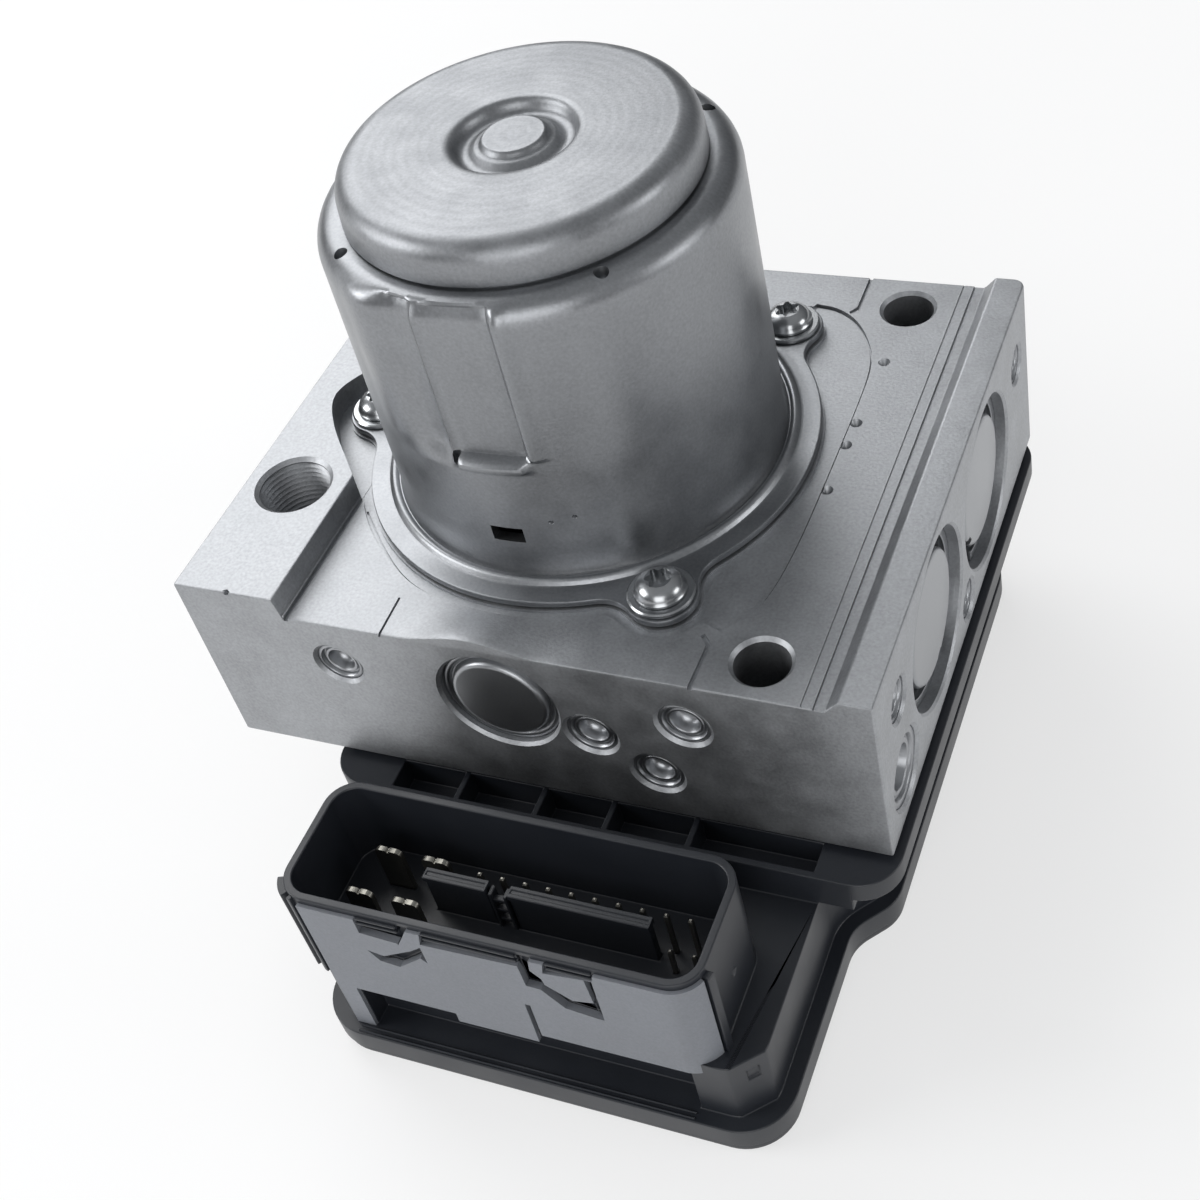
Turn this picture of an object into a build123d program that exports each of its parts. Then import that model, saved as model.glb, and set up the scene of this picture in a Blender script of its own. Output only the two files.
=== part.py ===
from build123d import *
from math import cos, radians, sin
import os

os.makedirs("parts", exist_ok=True)

# Brake control module: an aluminium valve block with the pump motor screwed
# on top and the electronic control unit underneath. Millimetres.
# The origin is where the motor's axis meets the underside. +Z goes up the
# motor's axis and -Y is the side of the plug socket.

# Valve block
block_width = 112.0            # left face to right face
block_depth = 93.4             # front face to back face
block_height = 31.5
motor_shift_x = -3.4           # motor axis from the middle of the block
motor_shift_y = -0.6
unit_height = 27.0             # the control unit, from its underside to the block
strip_width = 17.9             # raised strip along the left side
strip_slope = 0.7
strip_rise = 3.9
ridge_width = 5.0              # low ridge along the right side
ridge_slope = 1.8
ridge_rise = 2.1
corner_radius = 2.0
recess_margin = 1.8            # shallow recess around the motor's flange
recess_depth = 0.5
bulge_rise = 1.9               # the top swells over the front pump bore
bulge_length = 8.6
bulge_taper = 12.0

# Ports for the brake pipes
inlet_from_left = 8.8
inlet_from_front = 24.2
inlet_radius = 6.0
inlet_mouth = 6.9
inlet_depth = 14.0
outlet_radius = 4.6
outlet_mouth = 5.4
outlet_depth = 11.0
outlet_height = 15.0
outlet_count = 4
outlet_pitch = 22.0
drill_point = 2.4

# Motor: a deep-drawn can with its own flange, and a staked end cap
seal_thickness = 0.3
flange_width = 5.6
flange_thickness = 1.2
bead_width = 1.9
bead_slope = 0.5
bead_height = 0.9
can_radius = 31.2
can_wall = 1.6
can_shelf = 51.1               # shelf of the can above the flange's underside
can_shoulder = 3.6
shelf_width = 0.9              # of the shelf outside the end cap
shelf_inside = 2.3             # and under it
cap_height = 6.7
cap_edge = 3.4
cap_wall = 1.5
dish_radius = 9.1
dish_depth = 2.0
boss_foot = 6.9
boss_top = 4.4
ear_angles = (-53.0, 53.0, 180.0)
ear_radius = 5.6
ear_blend = 6.0
flat_angle = -87.0             # pressed flat with its lanced windows
flat_width = 10.9
flat_depth = 0.9
flat_bottom = 24.2
window_height = 2.6
slot_rise = 10.0
slot_width = 5.2
slot_height = 1.8
screw_radius = 2.5
screw_head = 4.0
screw_head_height = 3.0
screw_length = 12.0
washer_radius = 5.15
washer_thickness = 0.8
washer_gap = 0.15              # to the foot of the bead
screw_clearance = 0.2
lobe_radius = 1.9
lobe_depth = 1.6

# Rotor, bearings and brushes
chamber_radius = 12.0
lower_bearing_height = 7.0
shaft_radius = 4.5
core_shaft_radius = 4.0
top_shaft_radius = 3.0
nose_radius = 2.5
shaft_clearance = 0.03
upper_bearing_radius = 8.0
upper_bearing_height = 5.0
bearing_cup_wall = 1.6
bearing_cup_depth = 5.6
nose_bearing_radius = 4.6
nose_bearing_height = 4.0
nose_end_gap = 0.5
air_gap = 1.0
core_bottom = 18.5
core_height = 26.0
slot_count = 10
core_slot_width = 4.4
core_slot_floor = 11.5
core_rim = 1.6
winding_overhang = 3.5
winding_inner = 10.2
winding_step = 1.8
commutator_radius = 9.0
commutator_bottom = 5.0
commutator_height = 11.0
magnet_thickness = 4.85
magnet_gap = 0.15
magnet_arc = 124.0
plate_gap = 0.3
plate_thickness = 2.0
plate_bore = 9.8
brush_size = 6.0
brush_length = 7.0
brush_gap = 0.05
brush_height = 10.0
holder_wall = 1.4
holder_clearance = 0.08
brush_spring_room = 4.0
brush_spring_strip = 0.4
terminal_distance = 16.5
terminal_size = 0.8
terminal_pitch = 2.4
terminal_sleeve = 2.6
terminal_sleeve_length = 38.5

# Pump: two pistons driven by the eccentric
pump_height = 20.1             # pump axis above the block's underside
eccentricity = 1.0
eccentric_radius = 5.6
race_radius = 8.0
race_height = 8.4
piston_gap = 0.06
piston_radius = 3.25
piston_length = 15.4
piston_head_radius = 4.4
piston_head_length = 2.0
piston_clearance = 0.03
pump_sleeve_radius = 6.5
pump_sleeve_start = 13.0       # from the motor axis
pump_bore_end = 10.0           # where the bore opens into the chamber
guide_length = 9.0
pump_spring_room = 12.4
pump_spring_radius = 3.6
pump_spring_wire = 0.9
pump_spring_turns = 4
pump_cap_radius = 9.7
pump_cap_disc = 7.3
pump_cap_recess = 1.1
spring_gap = 0.1
spring_flat_count = 8

# Low-pressure accumulators, bored in from the right face
accumulators = ((62.5, 16.8), (31.3, 17.6))
accumulator_radius = 12.4
accumulator_mouth = 14.3
accumulator_wall = 6.4         # left between its floor and the valves
accumulator_cap_recess = 1.0
accumulator_cap_height = 4.2
accumulator_cap_rim = 2.4
accumulator_cap_dish = 0.8
accumulator_piston_height = 8.0
accumulator_piston_wall = 2.0
accumulator_stroke = 8.0
accumulator_clearance = 0.05
accumulator_spring_radius = 8.0
accumulator_spring_wire = 1.3
accumulator_spring_turns = 3

# Plugs pressed into the ends of drillings: distance along the face, height, rim radius
front_plugs = ((67.1, 16.2, 4.1), (82.9, 22.3, 4.1), (76.6, 9.6, 4.1), (25.6, 22.4, 3.9))
side_plugs = ((84.5, 22.8, 3.4), (47.4, 5.0, 3.4), (10.3, 23.5, 3.5))
plug_depth = 5.0
plug_recess = 0.5
large_plug = (10.0, 8.4, 6.3)
large_plug_depth = 9.0

# Solenoid valves in the block's underside
valve_spacing_x = 40.0
valve_from_front = 12.6        # first row to the block's front face
valve_from_back = 20.8         # last row to its back face
valve_column_count = 2
valve_row_count = 4
valve_radius = 5.0
valve_depth = 13.0
dome_radius = 3.2
dome_wall = 0.6
dome_length = 17.8
armature_clearance = 0.05
armature_length = 9.5
armature_stroke = 0.35
armature_end_gap = 0.05
valve_spring_room = 4.0
valve_spring_radius = 1.4
valve_spring_wire = 0.5
valve_spring_turns = 2
valve_spring_gap = 0.05
coil_gap = 6.4                 # between the eight-sided yokes of two rows
coil_side_gap = 1.8
coil_length = 15.0
coil_clearance = 0.15
coil_leg = 0.6
coil_leg_inset = 1.3

# Control unit: a collar under the block, a body below it and a narrower front part
collar_overhang = 1.1          # past the block's right face
collar_front = -5.6            # from the block's front face
collar_height = 3.9
collar_corner = 6.7
body_left_step = 1.5           # the body stands in from the collar
body_right_step = 3.7
body_back_step = 7.1
body_corner = 11.0
tongue_left_step = 6.5         # and the front part from the body
tongue_right_step = 5.5
tongue_front = -37.7
tongue_corner = 8.5
sweep_start = -4.0             # where the side leaves the front part
sweep_end = 9.0                # where it has reached the rear part
sweep_corner = 7.0
unit_seal_thickness = 1.1
unit_seal_width = 2.4
unit_seal_inset = 1.2
cover_thickness = 1.8
cover_inset = 0.35
skirt_height = 4.3
ledge_width = 2.5
wall = 2.0

# Connector on the front part of the control unit
pedestal_height = 19.5
pedestal_flat = 4.5            # cut across the front right corner
socket_left_step = 3.1         # in from the sides of the front part
socket_right_step = 8.4
socket_back = -13.5
socket_rim = 39.4
socket_corner = 5.0
socket_wall = 1.3
socket_floor = 24.1
panel_foot_left = 7.5          # feet left standing each side of the window
panel_foot_right = 4.6
panel_window_top = 17.2
panel_window_depth = 3.4
panel_wall = 1.5
panel_tongue = (53.7, 67.2, 2.2)
latch_windows = (
    ((42.5, 36.3), (42.4, 29.2), (46.8, 26.9), (52.3, 30.2), (52.5, 36.3)),
    ((68.4, 36.3), (68.6, 30.4), (74.4, 26.9), (78.9, 26.2), (79.1, 36.3)),
)
latch_depth = 0.8
panel_slit = (66.9, 67.7)      # left and right side of the slit under the latches
panel_slit_height = 8.4
panel_strip = (53.4, 67.4)     # recessed strip between the latches
panel_strip_base = 35.3
panel_strip_top = 38.2
partition_thickness = 1.2
partition_top = 33.0
partition_y = -22.8
partition_ends = (46.8, 57.3, 60.8)
partition_stop = 12.2          # last end to the socket's right side
trough_left_step = 4.0
trough_right_step = 2.9
trough_ribs = (41.5, 55.3, 67.2, 81.0)
trough_rib = 1.0
trough_depth = 5.0
trough_wall = 1.2
trough_back = 0.6
blade_width = 4.5
blade_thickness = 0.8
blades = ((39.4, -20.5), (47.5, -20.5), (38.3, -28.3), (46.1, -28.3))
pin_size = 0.64
pin_row_y = -21.2
pin_first = 55.4
pin_last_step = 6.6            # last pin to the socket's right side
pin_count = 10
low_pin_steps = (-2.7, 1.0)    # low pins from the last pin
second_row_y = -24.4
second_row_drop = 4.0
contact_top = 33.3
board_gap = 1.0
board_bottom = 3.4
board_thickness = 1.6
post_radius = 2.4
post_front = -8.0
post_front_steps = (9.0, 9.9)  # in from the sides of the front part
post_back_step = 12.3
post_rear_step = 17.4

# Screws that hold the control unit, from the block's top
unit_screw_from_right = 18.1
unit_screw_from_front = 6.8
unit_screw_from_back = 7.4
unit_screw_counterbore = 4.6
unit_screw_seat = 6.0
unit_screw_radius = 2.0
unit_screw_head = 3.9
unit_screw_head_height = 3.4
unit_screw_length = 13.0
unit_screw_boss = 4.5
unit_screw_boss_height = 12.0
hex_across_flats = 4.0

# Sizes worked out from the above
motor_from_left = block_width / 2 + motor_shift_x
motor_from_front = block_depth / 2 + motor_shift_y
flange_radius = can_radius + flange_width
bead_radius = can_radius + bead_width
recess_radius = flange_radius + recess_margin
ear_circle = bead_radius + bead_slope + washer_gap + washer_radius
cap_radius = can_radius - can_shoulder - shelf_width
can_mouth = cap_radius - shelf_inside
magnet_outer = can_radius - can_wall - magnet_gap
magnet_inner = magnet_outer - magnet_thickness
core_radius = magnet_inner - air_gap
winding_outer = core_radius - winding_step
plate_radius = can_radius - can_wall - plate_gap
valve_spacing_y = (block_depth - valve_from_front - valve_from_back) / (valve_row_count - 1)
coil_radius = (valve_spacing_y - coil_gap) / 2
coil_leg_distance = coil_radius - coil_leg_inset
accumulator_bed = valve_spacing_x / 2 + valve_radius + accumulator_wall
accumulator_depth = block_width - motor_from_left - accumulator_bed
shell = ledge_width + wall
body_left = motor_from_left - valve_spacing_x / 2 - coil_radius - coil_side_gap - shell
collar_left = body_left - body_left_step
collar_right = block_width + collar_overhang
collar_back = block_depth
body_right = collar_right - body_right_step
body_back = block_depth - body_back_step
tongue_left = body_left + tongue_left_step
tongue_right = body_right - tongue_right_step
socket_left = tongue_left + socket_left_step
socket_right = tongue_right - socket_right_step
socket_front = tongue_front + ledge_width
cavity_front = socket_front + panel_window_depth + panel_wall
panel_window_left = socket_left + panel_foot_left
panel_window_right = socket_right - panel_foot_right
partitions = (partition_ends[:2], (partition_ends[2], socket_right - partition_stop))
trough_left = tongue_left + trough_left_step
trough_right = tongue_right - trough_right_step
pin_last = socket_right - pin_last_step
board_left = tongue_left + shell + board_gap
board_right = tongue_right - shell - board_gap
board_front = cavity_front + board_gap
board_back = body_back - shell - board_gap
post_back = body_back - post_back_step
front_posts = ((tongue_left + post_front_steps[0], post_front), (tongue_right - post_front_steps[1], post_front))
rear_posts = ((motor_from_left, post_back), (body_right - post_rear_step, post_back))
unit_screws = [
    (block_width - unit_screw_from_right, y) for y in (unit_screw_from_front, block_depth - unit_screw_from_back)
]
block_base = unit_height
block_top = block_base + block_height
flange_bottom = block_top + seal_thickness
flange_top = flange_bottom + flange_thickness
shelf_top = flange_bottom + can_shelf
cap_top = shelf_top + cap_height
pump_axis = block_base + pump_height
core_base = block_top + core_bottom
core_top = core_base + core_height
commutator_base = block_top + commutator_bottom
brush_centre = block_top + brush_height
chamber_floor = pump_axis - race_height / 2 - 0.6
nose_bearing_top = chamber_floor - 0.2
nose_bearing_base = nose_bearing_top - nose_bearing_height
upper_bearing_top = cap_top - dish_depth - cap_wall - 0.1
upper_bearing_base = upper_bearing_top - upper_bearing_height
collar_top = block_base - unit_seal_thickness
collar_base = collar_top - collar_height
ledge_top = cover_thickness + skirt_height
board_top = board_bottom + board_thickness
piston_start = race_radius + eccentricity + piston_gap
piston_end = piston_start + piston_length
spring_seat = piston_end + pump_spring_room


def left(distance):
    """X of a point at a distance from the block's left face."""
    return distance - motor_from_left


def front(distance):
    """Y of a point at a distance behind the block's front face."""
    return distance - motor_from_front


front_face = Plane.XZ.offset(motor_from_front)
back_face = Plane(origin=(0, front(block_depth), 0), x_dir=(-1, 0, 0), z_dir=(0, 1, 0))
right_face = Plane.YZ.offset(left(block_width))
left_face = Plane(origin=(left(0), 0, 0), x_dir=(0, -1, 0), z_dir=(-1, 0, 0))
under_block = Plane(origin=(0, 0, block_base), x_dir=(1, 0, 0), z_dir=(0, 0, -1))
over_block = Plane.XY.offset(block_top)
valve_places = [
    ((column - (valve_column_count - 1) / 2) * valve_spacing_x, front(valve_from_front) + row * valve_spacing_y)
    for column in range(valve_column_count)
    for row in range(valve_row_count)
]


def turned(plane, at, profile, mode=Mode.ADD):
    """Turn a closed profile of (radius, depth) points about an axis square to a plane.

    Depth is measured from the plane against its normal."""
    centre = plane.from_local_coords((at[0], at[1], 0))
    with BuildSketch(Plane(origin=centre, x_dir=plane.x_dir, z_dir=plane.y_dir)) as half:
        with BuildLine():
            Polyline(*profile, close=True)
        make_face()
    revolve(half.sketch, axis=Axis(centre, plane.z_dir), mode=mode)


def disc(radius, start, end):
    """Profile of a plain cylinder between two depths."""
    return [(0, start), (radius, start), (radius, end), (0, end)]


def ring(inner, outer, start, end):
    """Profile of a plain ring between two depths."""
    return [(inner, start), (outer, start), (outer, end), (inner, end)]


def block_cut(plane, at, profile):
    turned(plane, at, profile, mode=Mode.SUBTRACT)


def port(mouth, radius, depth):
    """Profile of a tapped port: chamfered mouth, straight wall and drill point."""
    return [(0, 0), (mouth, 0), (radius, mouth - radius), (radius, depth), (0, depth + drill_point)]


# Places on the block's faces, each in its face's own axes
front_plug_places = [((left(x), block_base + z), r) for x, z, r in front_plugs]
side_plug_places = [((front(y), block_base + z), r) for y, z, r in side_plugs]
large_plug_place = (front(large_plug[0]), block_base + large_plug[1])
accumulator_places = [(front(y), block_base + z) for y, z in accumulators]
unit_screw_places = [(left(x), front(y)) for x, y in unit_screws]
outlet_ys = [
    front(block_depth / 2) + (number - (outlet_count - 1) / 2) * outlet_pitch for number in range(outlet_count)
]
inlet_ys = (front(inlet_from_front), front(block_depth - inlet_from_front))
terminal_y = (valve_places[0][1] + valve_places[-1][1]) / 2    # between two rows of coils
terminal_place = (-terminal_distance, terminal_y)
ear_places = [(ear_circle * cos(radians(a)), ear_circle * sin(radians(a))) for a in ear_angles]

with BuildPart() as valve_block:
    with BuildSketch(front_face):
        with BuildLine():
            Polyline(
                (left(0), block_base),
                (left(block_width), block_base),
                (left(block_width), block_top + ridge_rise),
                (left(block_width - ridge_width), block_top + ridge_rise),
                (left(block_width - ridge_width - ridge_slope), block_top),
                (left(strip_width + strip_slope), block_top),
                (left(strip_width), block_top + strip_rise),
                (left(0), block_top + strip_rise),
                close=True,
            )
        make_face()
    extrude(amount=-block_depth)
    fillet(valve_block.edges().filter_by(Axis.Z).group_by(Axis.Y)[-1].sort_by(Axis.X)[-1], corner_radius)
    with BuildSketch(front_face):
        with Locations((0, pump_axis)):
            Circle(block_top + bulge_rise - pump_axis)
    extrude(amount=-bulge_length, taper=bulge_taper)
    with BuildSketch(over_block.offset(-recess_depth)):
        Circle(recess_radius)
        for place in ear_places:
            with Locations(place):
                Circle(ear_radius + recess_radius - flange_radius)
    extrude(amount=strip_rise + recess_depth + 1, mode=Mode.SUBTRACT)
    with BuildSketch(over_block.offset(-recess_depth)):
        Circle(flange_radius + 0.3)
        for place in ear_places:
            with Locations(place):
                Circle(ear_radius)
    extrude(amount=recess_depth)
    block_cut(over_block, (0, 0), disc(chamber_radius, 0, block_top - chamber_floor))
    block_cut(over_block, (0, 0), disc(nose_bearing_radius, 0, block_top - nose_bearing_base + nose_end_gap))
    block_cut(over_block, terminal_place, disc(terminal_sleeve + 0.2, 0, block_height))
    for face in (front_face, back_face):
        cap_bore = abs(face.origin.Y) - spring_seat
        block_cut(face, (0, pump_axis), disc(pump_cap_radius, 0, cap_bore))
        block_cut(face, (0, pump_axis), disc(pump_sleeve_radius, 0, abs(face.origin.Y) - pump_bore_end))
    for place in accumulator_places:
        mouth_depth = accumulator_cap_recess + accumulator_cap_height
        block_cut(right_face, place, disc(accumulator_mouth, 0, mouth_depth))
        block_cut(right_face, place, disc(accumulator_radius, 0, accumulator_depth))
    for place, radius in front_plug_places:
        block_cut(front_face, place, disc(radius, 0, plug_depth))
    for place, radius in side_plug_places:
        block_cut(right_face, place, disc(radius, 0, plug_depth))
    block_cut(right_face, large_plug_place, disc(large_plug[2], 0, large_plug_depth))
    for place in valve_places:
        block_cut(under_block, (place[0], -place[1]), disc(valve_radius, 0, valve_depth))
    for y in inlet_ys:
        block_cut(over_block.offset(strip_rise), (left(inlet_from_left), y),
                  port(inlet_mouth, inlet_radius, inlet_depth))
    for y in outlet_ys:
        block_cut(left_face, (-y, block_base + outlet_height), port(outlet_mouth, outlet_radius, outlet_depth))
    for place in ear_places:
        block_cut(over_block, place, disc(screw_radius, 0, screw_length))
    for place in unit_screw_places:
        block_cut(over_block, place, disc(unit_screw_counterbore, 0, block_height - unit_screw_seat))
        block_cut(over_block, place, disc(unit_screw_radius + screw_clearance, 0, block_height))
valve_block.part.label = "valve_block"
export_step(valve_block.part, "parts/valve_block.step")

# Motor case. The can is one drawn piece: flange, ears, bead, wall and shelf.
with BuildPart() as motor_seal:
    with BuildSketch(over_block):
        Circle(flange_radius - 0.6)
        Circle(can_radius - can_wall, mode=Mode.SUBTRACT)
    extrude(amount=seal_thickness)
motor_seal.part.label = "motor_seal"
export_step(motor_seal.part, "parts/motor_seal.step")

half_turn = cos(radians(45))
with BuildPart() as motor_can:
    with BuildSketch(Plane.XZ):
        with BuildLine():
            outer = Polyline(
                (can_radius - can_wall, flange_bottom),
                (flange_radius, flange_bottom),
                (flange_radius, flange_top),
                (bead_radius + bead_slope, flange_top),
                (bead_radius, flange_top + bead_height),
                (can_radius + 0.6, flange_top + bead_height),
                (can_radius, flange_top + bead_height + 0.6),
                (can_radius, shelf_top - can_shoulder),
            )
            Polyline(
                outer @ 1,
                (can_radius - (1 - half_turn) * can_shoulder, shelf_top - (1 - half_turn) * can_shoulder),
                (can_radius - can_shoulder, shelf_top),
                (can_mouth, shelf_top),
                (can_mouth, shelf_top - can_wall),
                (can_radius - can_shoulder, shelf_top - can_wall),
                (can_radius - can_wall, shelf_top - can_shoulder),
                outer @ 0,
            )
        make_face()
    revolve(axis=Axis.Z)
    with BuildSketch(Plane.XY.offset(flange_bottom)) as ears:
        Circle(flange_radius)
        for place in ear_places:
            with Locations(place):
                Circle(ear_radius)
        fillet(ears.vertices(), ear_blend)
        Circle(can_radius, mode=Mode.SUBTRACT)
    extrude(amount=flange_thickness)
    for place in ear_places:
        turned(Plane.XY.offset(flange_top), place, disc(screw_radius + screw_clearance, 0, flange_thickness),
               mode=Mode.SUBTRACT)
    flat_side = Plane.XZ.rotated((0, 0, flat_angle + 90))
    with BuildSketch(flat_side.offset(can_radius - flat_depth)):
        with Locations((0, flange_bottom + flat_bottom + can_shelf / 2)):
            Rectangle(flat_width, can_shelf)
    extrude(amount=2 * flat_depth, mode=Mode.SUBTRACT)
    with BuildSketch(flat_side.offset(can_radius - can_wall - flat_depth)):
        with Locations((0, flange_bottom + flat_bottom - window_height / 2)):
            Rectangle(flat_width, window_height)
        with Locations((0, flange_bottom + slot_rise)):
            Rectangle(slot_width, slot_height)
    extrude(amount=2 * can_wall, mode=Mode.SUBTRACT)
motor_can.part.label = "motor_can"
export_step(motor_can.part, "parts/motor_can.step")

cup_inside = upper_bearing_radius
cup_outside = upper_bearing_radius + bearing_cup_wall
with BuildPart() as motor_end_cap:
    with BuildSketch(Plane.XZ):
        with BuildLine():
            skirt = Polyline(
                (cap_radius - cap_wall, shelf_top),
                (cap_radius, shelf_top),
                (cap_radius, cap_top - cap_edge),
            )
            Polyline(
                skirt @ 1,
                (cap_radius - (1 - half_turn) * cap_edge, cap_top - (1 - half_turn) * cap_edge),
                (cap_radius - cap_edge, cap_top),
                (dish_radius + 0.5, cap_top),
                (dish_radius - 0.3, cap_top - dish_depth),
                (boss_foot, cap_top - dish_depth),
                (boss_top, cap_top),
                (0, cap_top),
                (0, upper_bearing_top),
                (cup_inside, upper_bearing_top),
                (cup_inside, upper_bearing_top - bearing_cup_depth),
                (cup_outside, upper_bearing_top - bearing_cup_depth),
                (cup_outside, upper_bearing_top),
                (cup_outside + 0.8, cap_top - cap_wall),
                (cap_radius - cap_edge, cap_top - cap_wall),
                (cap_radius - cap_wall, cap_top - cap_edge),
                (cap_radius - cap_wall, shelf_top),
            )
        make_face()
    revolve(axis=Axis.Z)
motor_end_cap.part.label = "motor_end_cap"
export_step(motor_end_cap.part, "parts/motor_end_cap.step")

with BuildPart() as motor_washers:
    for place in ear_places:
        turned(Plane.XY.offset(flange_top), place,
               ring(screw_radius + screw_clearance, washer_radius, -washer_thickness, 0))
motor_washers.part.label = "motor_washers"
export_step(motor_washers.part, "parts/motor_washers.step")

head_seat = flange_top + washer_thickness
with BuildPart() as motor_screws:
    for place in ear_places:
        turned(Plane.XY.offset(head_seat), place, [
            (0, -screw_head_height), (0.55 * screw_head, -screw_head_height),
            (screw_head, -0.45 * screw_head_height), (screw_head, 0), (screw_radius, 0),
            (screw_radius, screw_length - 1), (0, screw_length - 1),
        ])
    with BuildSketch(Plane.XY.offset(head_seat + screw_head_height)):
        for place in ear_places:
            with Locations(place):
                RegularPolygon(lobe_radius, 6)
    extrude(amount=-lobe_depth, mode=Mode.SUBTRACT)
motor_screws.part.label = "motor_screws"
export_step(motor_screws.part, "parts/motor_screws.step")

# Inside of the motor
with BuildPart() as magnets:
    with BuildSketch(Plane.XY.offset(core_base)):
        with BuildLine():
            outside = CenterArc((0, 0), magnet_outer, -magnet_arc / 2, magnet_arc)
            inside = CenterArc((0, 0), magnet_inner, -magnet_arc / 2, magnet_arc)
            Line(outside @ 0, inside @ 0)
            Line(outside @ 1, inside @ 1)
        make_face()
    extrude(amount=core_height)
    mirror(about=Plane.YZ)
magnets.part.label = "magnets"
export_step(magnets.part, "parts/magnets.step")

race_base = pump_axis - race_height / 2
race_top = pump_axis + race_height / 2
with BuildPart() as armature_shaft:
    with BuildSketch(Plane.XZ):
        with BuildLine():
            Polyline(
                (0, race_top), (shaft_radius, race_top), (shaft_radius, block_top),
                (core_shaft_radius, block_top), (core_shaft_radius, upper_bearing_base),
                (top_shaft_radius, upper_bearing_base), (top_shaft_radius, upper_bearing_top - 0.4),
                (0, upper_bearing_top - 0.4), close=True,
            )
        make_face()
    revolve(axis=Axis.Z)
    with BuildSketch(Plane.XY.offset(race_base)):
        with Locations((eccentricity, 0)):
            Circle(eccentric_radius)
    extrude(amount=race_height)
    with BuildSketch(Plane.XY.offset(nose_bearing_base)):
        Circle(nose_radius)
    extrude(amount=race_base - nose_bearing_base)
armature_shaft.part.label = "armature_shaft"
export_step(armature_shaft.part, "parts/armature_shaft.step")

with BuildPart() as eccentric_bearing:
    turned(Plane.XY.offset(race_top), (eccentricity, 0), ring(eccentric_radius, race_radius, 0, race_height))
eccentric_bearing.part.label = "eccentric_bearing"
export_step(eccentric_bearing.part, "parts/eccentric_bearing.step")

slot_length = core_radius - core_rim - core_slot_floor
with BuildPart() as armature_core:
    with BuildSketch(Plane.XY.offset(core_base)):
        Circle(core_radius)
        Circle(core_shaft_radius, mode=Mode.SUBTRACT)
        with PolarLocations(core_slot_floor + slot_length / 2, slot_count):
            Rectangle(slot_length, core_slot_width, mode=Mode.SUBTRACT)
        with PolarLocations(core_radius - core_rim / 2, slot_count):
            Rectangle(2 * core_rim, core_rim, mode=Mode.SUBTRACT)
    extrude(amount=core_height)
armature_core.part.label = "armature_core"
export_step(armature_core.part, "parts/armature_core.step")

with BuildPart() as armature_winding:
    with BuildSketch(Plane.XY.offset(core_base)):
        with PolarLocations(core_slot_floor + slot_length / 2, slot_count):
            Rectangle(slot_length - 0.2, core_slot_width - 0.2)
    extrude(amount=core_height)
    for height in (core_base - winding_overhang, core_top):
        with BuildSketch(Plane.XY.offset(height)):
            RegularPolygon(winding_outer, slot_count)
            RegularPolygon(winding_inner, slot_count, mode=Mode.SUBTRACT)
        extrude(amount=winding_overhang)
armature_winding.part.label = "armature_winding"
export_step(armature_winding.part, "parts/armature_winding.step")

with BuildPart() as commutator:
    with BuildSketch(Plane.XY.offset(commutator_base)):
        Circle(commutator_radius)
        Circle(core_shaft_radius, mode=Mode.SUBTRACT)
        with PolarLocations(commutator_radius, slot_count):
            Rectangle(1.2, 0.6, mode=Mode.SUBTRACT)
    extrude(amount=commutator_height)
commutator.part.label = "commutator"
export_step(commutator.part, "parts/commutator.step")

with BuildPart() as shaft_bearings:
    turned(over_block, (0, 0), ring(shaft_radius + shaft_clearance, chamber_radius, 0, lower_bearing_height))
    turned(Plane.XY.offset(upper_bearing_top), (0, 0),
           ring(top_shaft_radius + shaft_clearance, upper_bearing_radius, 0, upper_bearing_height))
    turned(Plane.XY.offset(nose_bearing_top), (0, 0),
           ring(nose_radius + shaft_clearance, nose_bearing_radius, 0, nose_bearing_height))
shaft_bearings.part.label = "shaft_bearings"
export_step(shaft_bearings.part, "parts/shaft_bearings.step")

plate_top = block_top + plate_thickness
brush_start = commutator_radius + brush_gap
brush_end = brush_start + brush_length
box_start = commutator_radius + 0.6
box_end = brush_end + brush_spring_room
channel = brush_size / 2 + holder_clearance
terminal_pins = [(-terminal_distance, terminal_y + side * terminal_pitch / 2) for side in (-1, 1)]
with BuildPart() as brush_holder:
    with BuildSketch(over_block):
        Circle(plate_radius)
        Circle(plate_bore, mode=Mode.SUBTRACT)
    extrude(amount=plate_thickness)
    with BuildSketch(over_block.offset(plate_thickness)):
        for side in (-1, 1):
            with Locations((side * (box_start + box_end + holder_wall) / 2, 0)):
                Rectangle(box_end + holder_wall - box_start, 2 * (channel + holder_wall))
    extrude(amount=brush_centre + channel + holder_wall - plate_top)
    with BuildSketch(Plane.XY.offset(brush_centre - channel)):
        for side in (-1, 1):
            with Locations((side * box_end / 2, 0)):
                Rectangle(box_end, 2 * channel)
    extrude(amount=2 * channel, mode=Mode.SUBTRACT)
    with BuildSketch(over_block):
        with Locations(terminal_place):
            Circle(terminal_sleeve)
    extrude(amount=-terminal_sleeve_length)
    with BuildSketch(Plane.XY.offset(plate_top)):
        with Locations(terminal_pins):
            Rectangle(terminal_size, terminal_size)
    extrude(amount=-block_top, mode=Mode.SUBTRACT)
brush_holder.part.label = "brush_holder"
export_step(brush_holder.part, "parts/brush_holder.step")

with BuildPart() as brushes:
    with BuildSketch(Plane.XY.offset(brush_centre - brush_size / 2)):
        for side in (-1, 1):
            with Locations((side * (brush_start + brush_end) / 2, 0)):
                Rectangle(brush_length, brush_size)
    extrude(amount=brush_size)
brushes.part.label = "brushes"
export_step(brushes.part, "parts/brushes.step")

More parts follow.
